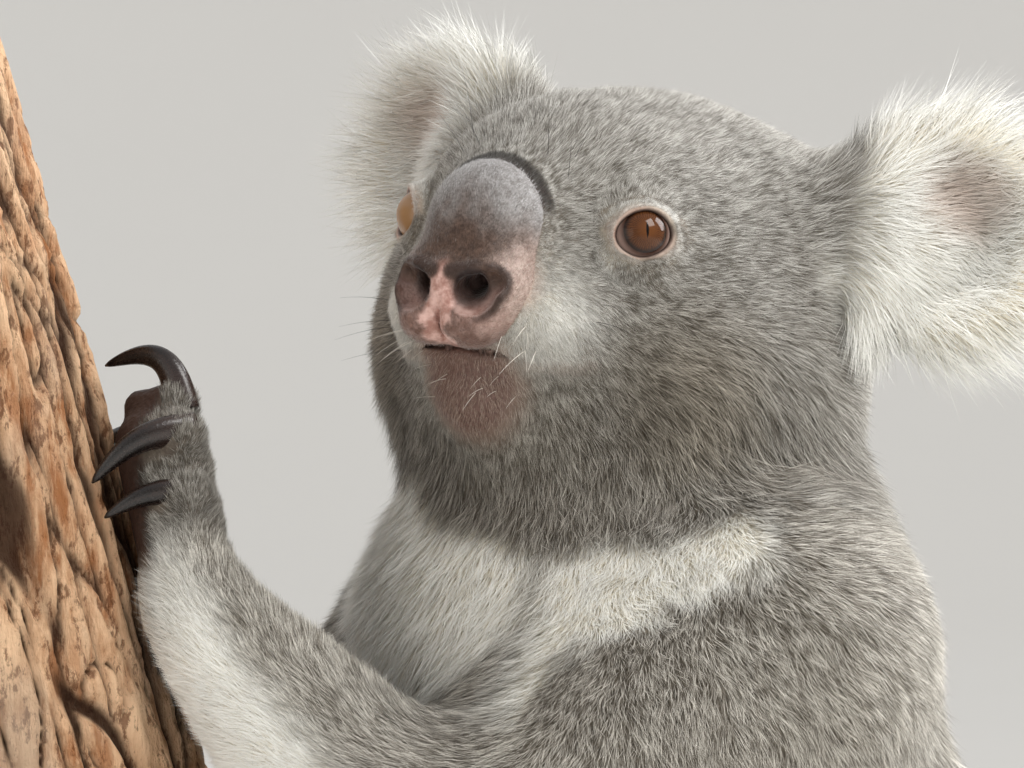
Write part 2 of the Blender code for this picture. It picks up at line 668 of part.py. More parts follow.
def main():
    for obj in list(bpy.data.objects):
        bpy.data.objects.remove(obj)
    stand()
    perch()
    parts = {"torso": coat()}
    for name, (source, middle, half, planes) in CUTS.items():
        parts[name] = parted(parts[source], name, middle, half, planes)
    boolean(parts["head"], nose())
    for side, place in (("left", EYE_PLACE), ("right", mirrored(EYE_PLACE))):
        add(sphere_mesh(on_head(place), EYE_RADIUS), f"eye_{side}", EYE)
        socket = add(sphere_mesh(on_head(place), EYE_RADIUS + 1.6 * GAP), f"socket_{side}", EYE, False)
        boolean(parts["head"], socket)
    for name, base, tip, up, size, arch in claw_list():
        add(claw_mesh(base, tip, up, size, arch), name, HORN)
        bed = add(claw_mesh(base, tip, up, size, arch, GAP), name + "_bed", HORN, False)
        boolean(parts[name[5:].rsplit("_", 1)[0]], bed)
    for part in parts.values():
        tidied(part)


main()
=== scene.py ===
"""The looks of the life-size koala: skin, coat, eyes, nose, claws, bark and stand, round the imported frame.

Metres, +Z up. The origin is the middle of the stand's underside. The koala faces -Y and its left is +X.
The skin is the coat's own distance function set in by the coat's depth, with lids, lips and thin ears.
The coat is made of thin tapered blades that grow from the skin along the lie of the fur.
"""

import json
import math

import bmesh
import bpy
import numpy as np
from mathutils import Euler, Matrix, Vector

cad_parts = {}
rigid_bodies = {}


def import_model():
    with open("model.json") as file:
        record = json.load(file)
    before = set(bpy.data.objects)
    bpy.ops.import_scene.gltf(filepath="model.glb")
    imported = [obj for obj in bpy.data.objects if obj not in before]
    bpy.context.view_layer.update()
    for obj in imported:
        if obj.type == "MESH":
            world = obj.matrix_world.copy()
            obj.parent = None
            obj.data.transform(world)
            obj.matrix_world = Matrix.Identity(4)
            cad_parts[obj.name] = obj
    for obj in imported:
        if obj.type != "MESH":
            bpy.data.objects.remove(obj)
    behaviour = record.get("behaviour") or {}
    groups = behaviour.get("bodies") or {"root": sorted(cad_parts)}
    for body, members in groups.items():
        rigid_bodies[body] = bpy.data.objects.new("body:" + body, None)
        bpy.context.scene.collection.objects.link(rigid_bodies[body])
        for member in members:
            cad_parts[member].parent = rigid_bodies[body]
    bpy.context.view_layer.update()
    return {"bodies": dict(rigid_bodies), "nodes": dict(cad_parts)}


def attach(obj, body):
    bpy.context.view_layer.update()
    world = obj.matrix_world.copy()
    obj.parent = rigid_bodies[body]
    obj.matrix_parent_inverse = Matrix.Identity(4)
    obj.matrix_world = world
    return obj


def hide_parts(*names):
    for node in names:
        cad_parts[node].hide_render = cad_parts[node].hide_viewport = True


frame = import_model()
BODY = next(iter(frame["bodies"]))

# ---- driving dimensions, as in the frame --------------------------------------------------------

FLOOR = 0.0183                                # level of the flats that the koala sits on
HEAD = Vector((0.0, 0.040, 0.423))            # middle of the head
HEAD_TURN, HEAD_LIFT, HEAD_TILT = 23.0, -13.2, 5.2   # degrees: to its left, nose up, left ear down

PERCH_RADIUS = 0.055
PERCH_BOTTOM, PERCH_TOP = 0.038, 0.508
PERCH_LEVEL, PERCH_AXIS = 0.373, Vector((-0.0815, -0.1288))
PERCH_LEAN = Vector((-0.1646, -0.2351))       # how far the axis moves for each metre of height
GRIP_ZERO = 55.0                              # degrees from +X where grip angles begin
GRIP_GAP = 0.0012

EYE_RADIUS = 0.0085
EYE_PLACE = Vector((0.0330, -0.0490, 0.0078))
EYE_LOOK = Vector((0.70, -0.71, 0.06)).normalized()
SOCKET_OUT, SOCKET_R = 0.0155, 0.0105         # the ball that hollows the coat before the eye
LID_HALF = (0.0069, 0.0059)                   # half-width and half-height of the opening between the lids
LID_DROP = 0.0007                             # how far the opening lies below the middle of the eye
LID_SLANT = 0.12                              # slope by which the opening drops towards the nose
NOSE_TOP, NOSE_TIP, NOSE_R = Vector((0, -0.0665, 0.0035)), Vector((0, -0.0675, -0.0130)), 0.0174
# middle and radii of a nostril's flank, of its bowl, of the bowl's outer end and of the dip in its edge
NOSE_WING = Vector((0.0100, -0.0735, -0.0162)), Vector((0.0085, 0.0125, 0.0105))
NOSTRIL = Vector((0.0099, -0.0852, -0.0183)), Vector((0.0061, 0.0060, 0.0063))
NOSTRIL_SLIT = (0.0140, -0.0842, -0.0150), (0.0032, 0.0050, 0.0034)
NOSTRIL_SILL = (0.0088, -0.0892, -0.0208), (0.0052, 0.0050, 0.0045)
NOSTRIL_HOLE = (0.0074, -0.0825, -0.0165), (0.0050, -0.0730, -0.0120)   # the dark way in, to its end
NOSTRIL_BORE = (0.0040, 0.0020)               # its radius at those two places
NOSTRIL_LID = (0.0024, -0.0850, -0.0136), (0.0088, -0.0842, -0.0118), 0.0017, 0.0015   # fold over it
NOSE_BACK = -0.0540
CHIN = (0, -0.066, -0.0385)
CHEEK = (0.040, -0.030, -0.030)               # the left one; the right one mirrors it

EARS = {
    # name: (middle, turn about its own up, lift about its side) in the head's own axes
    "left": (Vector((0.087, 0.026, 0.033)), 24.0, 6.0),
    "right": (Vector((-0.081, 0.018, 0.041)), -18.0, 6.0),
}
PINNA_R, PINNA_THICK = 0.0275, 0.0095
SIDES = ("left", "right")

head_turn = Euler([math.radians(a) for a in (HEAD_LIFT, HEAD_TILT, HEAD_TURN)], "YXZ").to_matrix()
TURN = np.array(head_turn)


def on_head(point):
    """A point given in the head's own axes, in the part's frame."""
    return HEAD + head_turn @ Vector(point)


def mirrored(point):
    return Vector((-point[0], point[1], point[2]))


def side_of(name):
    """1 for what is on the body's left, -1 for what is on its right."""
    return 1.0 if "left" in name else -1.0


def perch_centre(level):
    across = PERCH_AXIS + PERCH_LEAN * (level - PERCH_LEVEL)
    return Vector((across.x, across.y, level))


def on_perch(level, angle, out):
    """A point outside the trunk's bark, at a level, an angle round it and a distance out from it."""
    a = math.radians(GRIP_ZERO - angle)
    direction = Vector((math.cos(a), math.sin(a), 0.0))
    return perch_centre(level) + direction * (PERCH_RADIUS + out)


SHOULDER = Vector((0.064, 0.043, 0.328))
ELBOW_LEFT, ELBOW_RIGHT = Vector((0.041, -0.048, 0.272)), Vector((-0.112, -0.006, 0.245))
WRIST_LEFT, WRIST_RIGHT = on_perch(0.342, 20, 0.013), on_perch(0.290, -104, 0.014)
KNUCKLES_LEFT, KNUCKLES_RIGHT = on_perch(0.383, 14, 0.0125), on_perch(0.333, -123, 0.0125)
HIP = Vector((0.060, 0.100, 0.088))
KNEE_LEFT, KNEE_RIGHT = Vector((0.120, 0.018, 0.138)), Vector((-0.128, 0.018, 0.138))
ANKLE_LEFT, ANKLE_RIGHT = Vector((0.082, 0.022, 0.050)), Vector((-0.114, 0.022, 0.050))
SOLE_LEFT, SOLE_RIGHT = Vector((0.074, -0.044, 0.031)), Vector((-0.120, -0.044, 0.031))
FINGER_R, TOE_R = 0.0062, 0.0068

FINGERS_LEFT = {
    # knuckle, root of the claw, pad and tip of the claw on the perch; the claw's half-depth and arch
    "digit3": ((0.385, 12, 0.016), (0.3945, 11, 0.0195), (0.3940, 9, 0.0105), (0.4050, 5, 0.0028),
               0.0044, 0.42),
    "digit4": ((0.377, 14, 0.018), (0.3865, 19, 0.0228), (0.3860, 13, 0.0110), (0.3745, 33, 0.0015),
               0.0048, 0.22),
    "digit5": ((0.363, 14, 0.0165), (0.3705, 21, 0.0208), (0.3725, 13, 0.0105), (0.3655, 32, 0.0015),
               0.0042, 0.18),
    "digit1": ((0.356, -6, 0.012), (0.3540, -24, 0.0130), (0.352, -28, 0.0080), (0.3480, -48, 0.0015),
               0.0036, 0.30),
    "digit2": ((0.376, -4, 0.012), (0.3800, -22, 0.0130), (0.379, -26, 0.0080), (0.3800, -46, 0.0015),
               0.0038, 0.30),
}


def right_grip():
    """The right hand's digits: the left hand's, turned to the other side of the trunk and set lower."""
    turned = {}
    for name, (*places, size, arch) in FINGERS_LEFT.items():
        moved = [(level - 0.050, -110 - angle, out) for level, angle, out in places]
        turned[name] = (*moved, size, arch)
    return turned


fingers_right = right_grip()


TOES = {
    # name: (turn outward from straight ahead in radians, length)
    "toe1": (-0.86, 0.012),
    "toe2": (-0.30, 0.026),
    "toe4": (0.06, 0.032),
    "toe5": (0.40, 0.029),
}


def toes(sole):
    """Ball and tip of each toe and which way it points, for one foot."""
    side = math.copysign(1.0, sole.x)
    made = []
    for name, (turn, length) in TOES.items():
        way = Vector((side * math.sin(turn), -math.cos(turn), 0))
        ball = sole + way * 0.010 + Vector((-side * 0.006 if name == "toe1" else 0, 0, -0.003))
        made.append((ball, ball + way * length + Vector((0, 0, -0.0015)), name, way))
    return made


ARMS = (
    (SHOULDER, ELBOW_LEFT, WRIST_LEFT, KNUCKLES_LEFT, FINGERS_LEFT),
    (mirrored(SHOULDER), ELBOW_RIGHT, WRIST_RIGHT, KNUCKLES_RIGHT, fingers_right),
)
LEGS = (
    (HIP, KNEE_LEFT, ANKLE_LEFT, SOLE_LEFT),
    (mirrored(HIP), KNEE_RIGHT, ANKLE_RIGHT, SOLE_RIGHT),
)

# ---- view and light -----------------------------------------------------------------------------

VIEW_TURN = 55.0                              # degrees that the view is turned round the koala's front left
VIEW_DISTANCE, VIEW_WIDTH, SENSOR = 1.5, 0.2765, 36.0
view_right = Vector((math.cos(math.radians(VIEW_TURN)), math.sin(math.radians(VIEW_TURN)), 0))
view_back = Vector((view_right.y, -view_right.x, 0))
VIEW_SHIFT, VIEW_DROP = 0.0292, 0.0227        # how far left of the head's middle and below it the view aims
view_middle = HEAD - view_right * VIEW_SHIFT - Vector((0, 0, VIEW_DROP))


def look_at(obj, place, target):
    obj.location = place
    obj.rotation_euler = (Vector(target) - Vector(place)).to_track_quat("-Z", "Y").to_euler()


def camera():
    data = bpy.data.cameras.new("view")
    data.sensor_width = SENSOR
    data.lens = SENSOR * VIEW_DISTANCE / VIEW_WIDTH
    data.clip_start = 0.05
    made = bpy.data.objects.new("view", data)
    bpy.context.scene.collection.objects.link(made)
    look_at(made, view_middle + view_back * VIEW_DISTANCE, view_middle)
    bpy.context.scene.camera = made


def area_light(name, right, back, up, size, power, colour):
    """A soft square light, placed from the head along the view's own right, towards the viewer and up."""
    data = bpy.data.lights.new(name, "AREA")
    data.size = size
    data.energy = power
    data.color = colour
    made = bpy.data.objects.new(name, data)
    bpy.context.scene.collection.objects.link(made)
    look_at(made, HEAD + view_right * right + view_back * back + Vector((0, 0, up)), HEAD)


camera()
area_light("key", 1.15, 0.80, 1.45, 1.0, 36.0, (1.0, 0.985, 0.96))
area_light("rim", 1.20, -0.45, 0.70, 0.9, 24.0, (0.97, 0.98, 1.0))
area_light("fill", -1.5, 1.2, 0.05, 1.4, 6.0, (1.0, 0.94, 0.87))

# ---- numbers ------------------------------------------------------------------------------------


def smooth(value, low, high):
    """0 below low, 1 above high and a soft step between. Low may be the greater of the two."""
    t = np.clip((value - low) / (high - low), 0.0, 1.0)
    return t * t * (3 - 2 * t)


def bell(value, middle, width):
    """1 where the value is the middle one, falling to 0 on both sides of it."""
    return np.exp(-((value - middle) / width) ** 2)


def unit(vectors):
    return vectors / np.maximum(np.linalg.norm(vectors, axis=-1, keepdims=True), 1e-9)


def toward(value, wanted, share):
    """The value moved a share of the way to the wanted one."""
    return value + (wanted - value) * share


def away_from(points, centre, stretch=(1.0, 1.0, 1.0)):
    """How far each point lies from a centre, with each axis divided by its stretch."""
    return np.linalg.norm((points - np.array(centre)) / stretch, axis=-1)


def nearness(points, centre, far, near, stretch=(1.0, 1.0, 1.0)):
    """0 farther from the centre than far, 1 nearer to it than near and a soft step between."""
    return smooth(away_from(points, centre, stretch), far, near)


def way_along(points, a, b):
    """How far each point has gone on the way from a to b, from 0 to 1."""
    return np.clip((points - np.array(a)) @ np.array(b - a) / (b - a).length_squared, 0, 1)


def lattice(cells, seed):
    """A repeatable number from 0 to 1 for each whole-numbered place."""
    h = (cells[..., 0] * 73856093) ^ (cells[..., 1] * 19349663)
    h = h ^ (cells[..., 2] * 83492791) ^ (seed * 2654435761)
    h = (h ^ (h >> 13)) * 1274126177 & 0xFFFFFFFF
    return ((h ^ (h >> 16)) & 0xFFFF) / 65535.0


def noise(points, size, seed):
    """Smooth value noise from 0 to 1, with lumps of about the size given."""
    q = points / size
    base = np.floor(q).astype(np.int64)
    f = q - base
    f = f * f * (3 - 2 * f)
    total = np.zeros(len(points))
    for i in (0, 1):
        for j in (0, 1):
            for k in (0, 1):
                weight = ((f[:, 0] if i else 1 - f[:, 0]) * (f[:, 1] if j else 1 - f[:, 1])
                          * (f[:, 2] if k else 1 - f[:, 2]))
                total += weight * lattice(base + np.array((i, j, k)), seed)
    return total


def swirl(points, size, seed):
    """A smooth field of vectors whose parts run from -1 to 1."""
    return np.stack([2 * noise(points, size, seed + n) - 1 for n in range(3)], axis=-1)


# ---- distance functions -------------------------------------------------------------------------


def ellipsoid(points, centre, radii):
    q = points - np.array(centre)
    r = np.array(radii)
    near = np.linalg.norm(q / r, axis=-1)
    slope = np.linalg.norm(q / (r * r), axis=-1)
    return near * (near - 1.0) / np.maximum(slope, 1e-9)


def cone(points, a, b, ra, rb):
    """A rounded limb between two points whose radius changes evenly from one to the other."""
    a, b = np.array(a), np.array(b)
    along = b - a
    share = np.clip((points - a) @ along / (along @ along), 0.0, 1.0)
    middle = a + share[..., None] * along
    return np.linalg.norm(points - middle, axis=-1) - (ra + share * (rb - ra))


def blend(d, other, width):
    """The smooth union of two distances, with a fillet of about this width."""
    share = np.clip(0.5 + 0.5 * (other - d) / width, 0.0, 1.0)
    return other * (1 - share) + d * share - width * share * (1 - share)


def hollow(d, other, width):
    """The first shape with the other smoothly taken away."""
    return -blend(-d, other, width)


def head_axes(points):
    return (points - np.array(HEAD)) @ TURN


def folded(q):
    """Points of the head's axes with the right half laid over the left one."""
    q = q.copy()
    q[..., 0] = np.abs(q[..., 0])
    return q


def nose_rise(q):
    """The rounded block of the nose, in the head's axes, for points on its left half."""
    d = cone(q, NOSE_TOP, NOSE_TIP, NOSE_R, NOSE_R)
    return blend(d, ellipsoid(q, *NOSE_WING), 0.005)


def nostril(q):
    """The open bowl of a nostril, drawn out up and outward, with the dark way in at its inner side."""
    d = blend(ellipsoid(q, *NOSTRIL), ellipsoid(q, *NOSTRIL_SLIT), 0.0015)
    d = blend(d, ellipsoid(q, *NOSTRIL_SILL), 0.0025)
    return blend(d, cone(q, *NOSTRIL_HOLE, *NOSTRIL_BORE), 0.0012)


HEAD_LUMPS = (
    # middle and radii of each rounded part of the head, and how softly it joins the ones before it
    ((0, -0.034, 0.012), (0.036, 0.034, 0.031), 0.018),               # forehead
    ((0, -0.059, 0.008), (0.0195, 0.0205, 0.017), 0.010),             # bridge of the nose
    ((0.040, 0.016, 0.021), (0.024, 0.028, 0.024), 0.014),            # in front of the ear
    ((0.031, -0.004, -0.020), (0.034, 0.042, 0.038), 0.018),          # cheek
    ((0, -0.046, -0.015), (0.032, 0.031, 0.027), 0.012),              # muzzle
    ((0.012, -0.060, -0.020), (0.017, 0.016, 0.012), 0.006),          # upper lip
    ((0, -0.012, -0.036), (0.044, 0.044, 0.029), 0.014),              # lower jaw
    ((0, -0.0500, -0.0350), (0.0185, 0.0195, 0.0180), 0.004),         # chin
)


def head_form(q):
    """The head's coat without ears or nose, in its own axes, for points on its left half."""
    d = ellipsoid(q, (0, 0.010, 0.006), (0.062, 0.066, 0.053))
    for middle, radii, width in HEAD_LUMPS:
        d = blend(d, ellipsoid(q, middle, radii), width)
    d = blend(d, nose_rise(q) + 0.0012, 0.004)
    return hollow(d, away_from(q, EYE_PLACE + EYE_LOOK * SOCKET_OUT) - SOCKET_R, 0.008)


def eye_axes(q):
    """Places on the head's left half in its eye's own axes: across the lids, up them and out of the eye."""
    out = np.array(EYE_LOOK)
    across = unit(np.cross(out, np.array((0.0, 0.0, 1.0))))
    up = np.cross(across, out)
    return (q - np.array(EYE_PLACE)) @ np.stack([across, up, out], axis=-1)


def lid_opening(eye):
    """1 on the edge of the almond between the lids and less inside it, for places in the eye's own axes."""
    across = np.abs(eye[..., 0]) / LID_HALF[0]
    up = np.abs(eye[..., 1] + LID_DROP + LID_SLANT * eye[..., 0]) / LID_HALF[1]
    return np.sqrt(across ** 1.75 + up ** 2)


MOUTH = (
    # the line between the lips, from the middle to its left corner
    Vector((0, -0.0712, -0.0296)),
    Vector((0.0090, -0.0698, -0.0298)),
    Vector((0.0160, -0.0655, -0.0296)),
    Vector((0.0225, -0.0595, -0.0284)),
    Vector((0.0270, -0.0530, -0.0262)),
)


def mouth_line(q):
    """Distance from the line between the lips, for points on the head's left half."""
    spans = [cone(q, a, b, 0.0, 0.0) for a, b in zip(MOUTH, MOUTH[1:])]
    return np.minimum.reduce(spans)


LID_THICK, LID_DEPTH = 0.0010, 0.0024         # how far the lids lie over the eyeball, how deep they open
LID_RIM = 0.0004                              # height of their raised edge
FOLD_ABOVE, FOLD_BELOW = 0.0003, 0.0002       # how deep the lids' folds are
LIP_FULL, MOUTH_DEPTH = 0.0009, 0.0026


def face_form(q, depth):
    """The head's skin: the coat's form set in by its depth, with lids and lips pressed into it."""
    q = folded(q)
    d = hollow(head_form(q) + depth, nostril(q) - 0.0018, 0.002)
    eye = eye_axes(q)
    front = smooth(eye[..., 2], 0.0, 0.004)
    d = blend(d, np.linalg.norm(eye, axis=-1) - EYE_RADIUS - LID_THICK, 0.0060)
    opening = lid_opening(eye)
    d = d + LID_DEPTH * front * smooth(opening, 1.15, 0.86)
    d = d - LID_RIM * front * bell(opening, 1.24, 0.10)
    d = d + FOLD_ABOVE * front * bell(opening, 1.66, 0.14) * smooth(eye[..., 1], -0.002, 0.004)
    d = d + FOLD_BELOW * front * bell(opening, 1.58, 0.14) * smooth(eye[..., 1], 0.001, -0.004)
    lips = mouth_line(q)
    d = d - LIP_FULL * bell(lips, 0.0030, 0.0018)
    return d + MOUTH_DEPTH * bell(lips, 0.0, 0.0009)


def ear_facing(name):
    """The turn of one ear's own axes in the head's."""
    _, turn, lift = EARS[name]
    return np.array(Euler([math.radians(a) for a in (lift, 0, turn)]).to_matrix())


def ear_axes(q, name):
    """Points of the head's axes in one ear's own: to its left, back through it and up it."""
    return (q - np.array(EARS[name][0])) @ ear_facing(name)


def pinna_form(q, name):
    """The thin round cup of an ear, open to the front."""
    local = ear_axes(q, name)
    side = side_of(name)
    d = ellipsoid(local, (-0.005 * side, 0.001, -0.002), (PINNA_R, PINNA_THICK, PINNA_R))
    cup = ellipsoid(local, (-0.005 * side, -0.0085, -0.002), (PINNA_R - 0.002, 0.0098, PINNA_R - 0.002))
    d = hollow(d, cup, 0.003)
    root = (-0.032 * side, 0.004, -0.008)
    d = blend(d, cone(local, (-0.018 * side, 0.005, -0.005), root, 0.014, 0.020), 0.010)
    return blend(d, ellipsoid(local, (-0.024 * side, 0.003, 0.009), (0.013, 0.007, 0.0125)), 0.006)


REGIONS = {
    # name: (two ends of the limb, their radii, coat depth, blade length, blade width, how many blades deep)
    "chest": ((0, 0.045, 0.340), (0, 0.060, 0.270), 0.070, 0.078, 0.0038, 0.0100, 0.00027, 3.9),
    "rump": ((0, 0.080, 0.200), (0, 0.100, 0.110), 0.085, 0.092, 0.0062, 0.0150, 0.00038, 3.5),
    "head": (on_head((0, -0.02, 0)), on_head((0, 0.02, 0.004)), 0.046, 0.060, 0.0016, 0.0046, 0.00019, 4.3),
}
for side, (shoulder, elbow, wrist, knuckles, _) in zip(SIDES, ARMS):
    REGIONS["upper_" + side] = (shoulder, elbow, 0.043, 0.034, 0.0028, 0.0068, 0.00024, 4.1)
    REGIONS["fore_" + side] = (elbow, wrist, 0.034, 0.0165, 0.0024, 0.0060, 0.00021, 4.6)
    REGIONS["hand_" + side] = (wrist, knuckles, 0.0135, 0.0125, 0.0016, 0.0034, 0.00019, 4.2)
for side, (hip, knee, ankle, sole) in zip(SIDES, LEGS):
    REGIONS["thigh_" + side] = (hip, knee, 0.062, 0.046, 0.0056, 0.0140, 0.00038, 3.5)
    REGIONS["shank_" + side] = (knee, ankle, 0.044, 0.025, 0.0046, 0.0110, 0.00033, 3.5)
    REGIONS["foot_" + side] = (ankle, sole, 0.022, 0.0165, 0.0020, 0.0055, 0.00027, 3.5)
REGION_NAMES = list(REGIONS)
REGION_SPREAD = 0.009                         # how softly one region turns into the next


def region_shares(points):
    """How much each point belongs to each region: one column a region, each row adding to 1."""
    near = np.stack([cone(points, a, b, ra, rb) for a, b, ra, rb, *_ in REGIONS.values()], axis=-1)
    weight = np.exp(-(near - near.min(axis=-1, keepdims=True)) / REGION_SPREAD)
    return weight / weight.sum(axis=-1, keepdims=True)


def region_value(shares, column):
    return shares @ np.array([row[column] for row in REGIONS.values()])


def share_of(shares, *names):
    """How much each point belongs to the regions named, taken together."""
    return sum(shares[:, REGION_NAMES.index(name)] for name in names)


def digit_bones(hand):
    """Knuckle, claw root and pad of each digit of a hand."""
    return [tuple(on_perch(*place) for place in places[:3]) for places in hand.values()]


def digit_distance(points):
    """Distance from the nearest finger or toe, exact only near them."""
    d = np.full(len(points), 0.05)
    for *_, wrist, knuckles, hand in ARMS:
        near = close_to(points, knuckles, 0.055)
        for knuckle, root, pad in digit_bones(hand):
            here = cone(points[near], knuckle, root, FINGER_R, FINGER_R)
            here = np.minimum(here, cone(points[near], root, pad, FINGER_R, FINGER_R))
            d[near] = np.minimum(d[near], here)
    for *_, sole in LEGS:
        near = close_to(points, sole, 0.065)
        for ball, end, *_ in toes(sole):
            d[near] = np.minimum(d[near], cone(points[near], ball, end, TOE_R, TOE_R))
    return d


def close_to(points, centre, reach):
    """Which points lie within reach of a centre."""
    return np.flatnonzero(((points - np.array(centre)) ** 2).sum(-1) < reach * reach)


def face_nearness(q):
    """1 on the bare parts of the face, where the coat is thinnest, falling to 0 on crown and cheeks."""
    q = folded(q)
    muzzle = nearness(q, (0, -0.066, -0.014), 0.050, 0.022)
    chin = nearness(q, (0, -0.058, -0.038), 0.030, 0.014)
    return np.maximum.reduce([muzzle, chin, nearness(q, EYE_PLACE, 0.023, 0.011)])


def coat_depth(points, q):
    """How far the skin lies under the tips of the coat."""
    depth = region_value(region_shares(points), 4)
    depth = toward(depth, 0.0010, smooth(digit_distance(points), 0.004, 0.0))
    near_head = nearness(q, (0, 0, 0), 0.095, 0.070)
    depth = depth + 0.0020 * nearness(folded(q), (0.045, -0.002, -0.026), 0.045, 0.015) * near_head
    return toward(depth, 0.0009, face_nearness(q) * near_head)


def perch_distance(points):
    """How far each point lies outside the trunk."""
    return cone(points, perch_centre(PERCH_BOTTOM), perch_centre(PERCH_TOP), PERCH_RADIUS, PERCH_RADIUS)


def skin_form(points):
    """Distance of each point from the skin."""
    q = head_axes(points)
    depth = coat_depth(points, q)
    d = ellipsoid(points, (0, 0.047, 0.318), (0.084, 0.077, 0.084))
    d = blend(d, ellipsoid(points, (0, 0.074, 0.222), (0.090, 0.084, 0.105)), 0.030)
    d = blend(d, ellipsoid(points, (0, 0.100, 0.112), (0.100, 0.098, 0.097)), 0.030)
    d = blend(d, cone(points, (0, 0.046, 0.388), (0, 0.046, 0.335), 0.059, 0.070), 0.018)
    for shoulder, elbow, wrist, knuckles, _ in ARMS:
        d = blend(d, cone(points, shoulder, elbow, 0.043, 0.034), 0.022)
        d = blend(d, cone(points, elbow, wrist, 0.034, 0.0165), 0.014)
        d = blend(d, cone(points, wrist, knuckles, 0.0135, 0.0125), 0.008)
    for _, _, wrist, knuckles, hand in ARMS:
        palm = wrist.lerp(knuckles, 0.5)
        near = close_to(points, knuckles, 0.060)
        here, p = d[near], points[near]
        for knuckle, root, pad in digit_bones(hand):
            here = blend(here, cone(p, palm, knuckle, 0.0085, FINGER_R + 0.0012), 0.005)
            here = blend(here, cone(p, knuckle, root, FINGER_R + 0.0008, FINGER_R), 0.004)
            here = blend(here, cone(p, root, pad, FINGER_R, FINGER_R - 0.0004), 0.004)
        d[near] = here
    for hip, knee, ankle, sole in LEGS:
        d = blend(d, cone(points, hip, knee, 0.062, 0.046), 0.030)
        d = blend(d, cone(points, knee, ankle, 0.044, 0.025), 0.018)
        d = blend(d, cone(points, ankle - Vector((0, 0, 0.014)), sole, 0.022, 0.0165), 0.012)
        near = close_to(points, sole, 0.070)
        for a, b, *_ in toes(sole):
            d[near] = blend(d[near], cone(points[near], a, b, TOE_R + 0.001, TOE_R), 0.006)
    d = d + depth
    near = close_to(points, HEAD, 0.135)
    here = blend(d[near], face_form(q[near], depth[near]), 0.017)
    for name in EARS:
        here = blend(here, pinna_form(q[near], name), 0.007)
    d[near] = here
    return np.maximum.reduce([d, GRIP_GAP - perch_distance(points), FLOOR - points[..., 2]])


# ---- meshing ------------------------------------------------------------------------------------


def banded(form, low, high, cell, coarse=4, reach=0.0055):
    """A grid of distances, worked out in full only near the zero surface."""
    counts = [int(math.ceil((h - l) / (cell * coarse))) + 1 for l, h in zip(low, high)]
    axes = [l + cell * coarse * np.arange(n) for l, n in zip(low, counts)]
    grid = np.stack(np.meshgrid(*axes, indexing="ij"), axis=-1).reshape(-1, 3)
    rough = form(grid).reshape(counts).astype(np.float32)
    for axis in range(3):
        last = rough.shape[axis] - 1
        place = np.arange(last * coarse + 1) / coarse
        before = np.minimum(place.astype(int), last - 1)
        share = (place - before).astype(np.float32)
        share = share.reshape([-1 if n == axis else 1 for n in range(3)])
        rough = np.take(rough, before, axis) * (1 - share) + np.take(rough, before + 1, axis) * share
    near = np.argwhere(np.abs(rough) < reach)
    rough[tuple(near.T)] = form(np.array(low) + near * cell)
    return rough


def surface_nets(values, low, cell):
    """Points and quads of the zero surface of a grid of distances, one point in each cell it crosses."""
    inside = values < 0
    corners = [(i, j, k) for i in (0, 1) for j in (0, 1) for k in (0, 1)]
    size = [n - 1 for n in values.shape]

    def at(grid, corner):
        return grid[tuple(slice(c, c + n) for c, n in zip(corner, size))]

    count = sum(at(inside, c).astype(np.int8) for c in corners)
    crossed = (count > 0) & (count < 8)
    cells = np.argwhere(crossed)
    index = np.full(size, -1, np.int32)
    index[crossed] = np.arange(len(cells))
    total, hits = np.zeros((len(cells), 3)), np.zeros(len(cells))
    for a in corners:
        for axis in range(3):
            if a[axis]:
                continue
            b = tuple(c + (n == axis) for n, c in enumerate(a))
            va, vb = at(values, a)[crossed], at(values, b)[crossed]
            cut = (va < 0) != (vb < 0)
            share = np.where(cut, va / np.where(cut, va - vb, 1), 0)
            place = np.repeat([a], len(cells), 0).astype(float)
            place[:, axis] += share
            total += place * cut[:, None]
            hits += cut
    points = np.array(low) + (cells + total / hits[:, None]) * cell
    quads = []
    for axis in range(3):
        u, v = (axis + 1) % 3, (axis + 2) % 3
        first = [slice(1, -1)] * 3
        first[axis] = slice(0, -1)
        second = list(first)
        second[axis] = slice(1, None)
        a, b = inside[tuple(first)], inside[tuple(second)]
        start = np.argwhere(a != b) + np.array([0 if n == axis else 1 for n in range(3)])
        out = a[a != b]
        ring = []
        for du, dv in ((-1, -1), (0, -1), (0, 0), (-1, 0)):
            cell_of = start.copy()
            cell_of[:, u] += du
            cell_of[:, v] += dv
            ring.append(index[tuple(cell_of.T)])
        ring = np.stack(ring, axis=1)
        quads.append(np.where(out[:, None], ring, ring[:, ::-1]))
    return points, np.concatenate(quads)


def untangled(values, least):
    """The grid with each checkerboard of four places opened, so that its surface never touches itself."""
    faces = ((0, 1), (0, 2), (1, 2))
    while True:
        found = 0
        for face in faces:
            at = {}
            for du in (0, 1):
                for dv in (0, 1):
                    part = [slice(None)] * 3
                    part[face[0]] = slice(du, values.shape[face[0]] - 1 + du)
                    part[face[1]] = slice(dv, values.shape[face[1]] - 1 + dv)
                    at[du, dv] = values[tuple(part)]
            one = (at[0, 0] < 0) & (at[1, 1] < 0) & (at[0, 1] >= 0) & (at[1, 0] >= 0)
            two = (at[0, 1] < 0) & (at[1, 0] < 0) & (at[0, 0] >= 0) & (at[1, 1] >= 0)
            for wrong, corners in ((one, ((0, 0), (1, 1))), (two, ((0, 1), (1, 0)))):
                found += int(wrong.sum())
                thinner = at[corners[0]] > at[corners[1]]
                at[corners[0]][wrong & thinner] = least
                at[corners[1]][wrong & ~thinner] = least
        if not found:
            return values


def slope_of(form, points, step=1e-4):
    """The form at each point and how fast it grows along each axis."""
    here = form(points)
    return here, np.stack([form(points + step * e) - here for e in np.eye(3)], axis=-1) / step


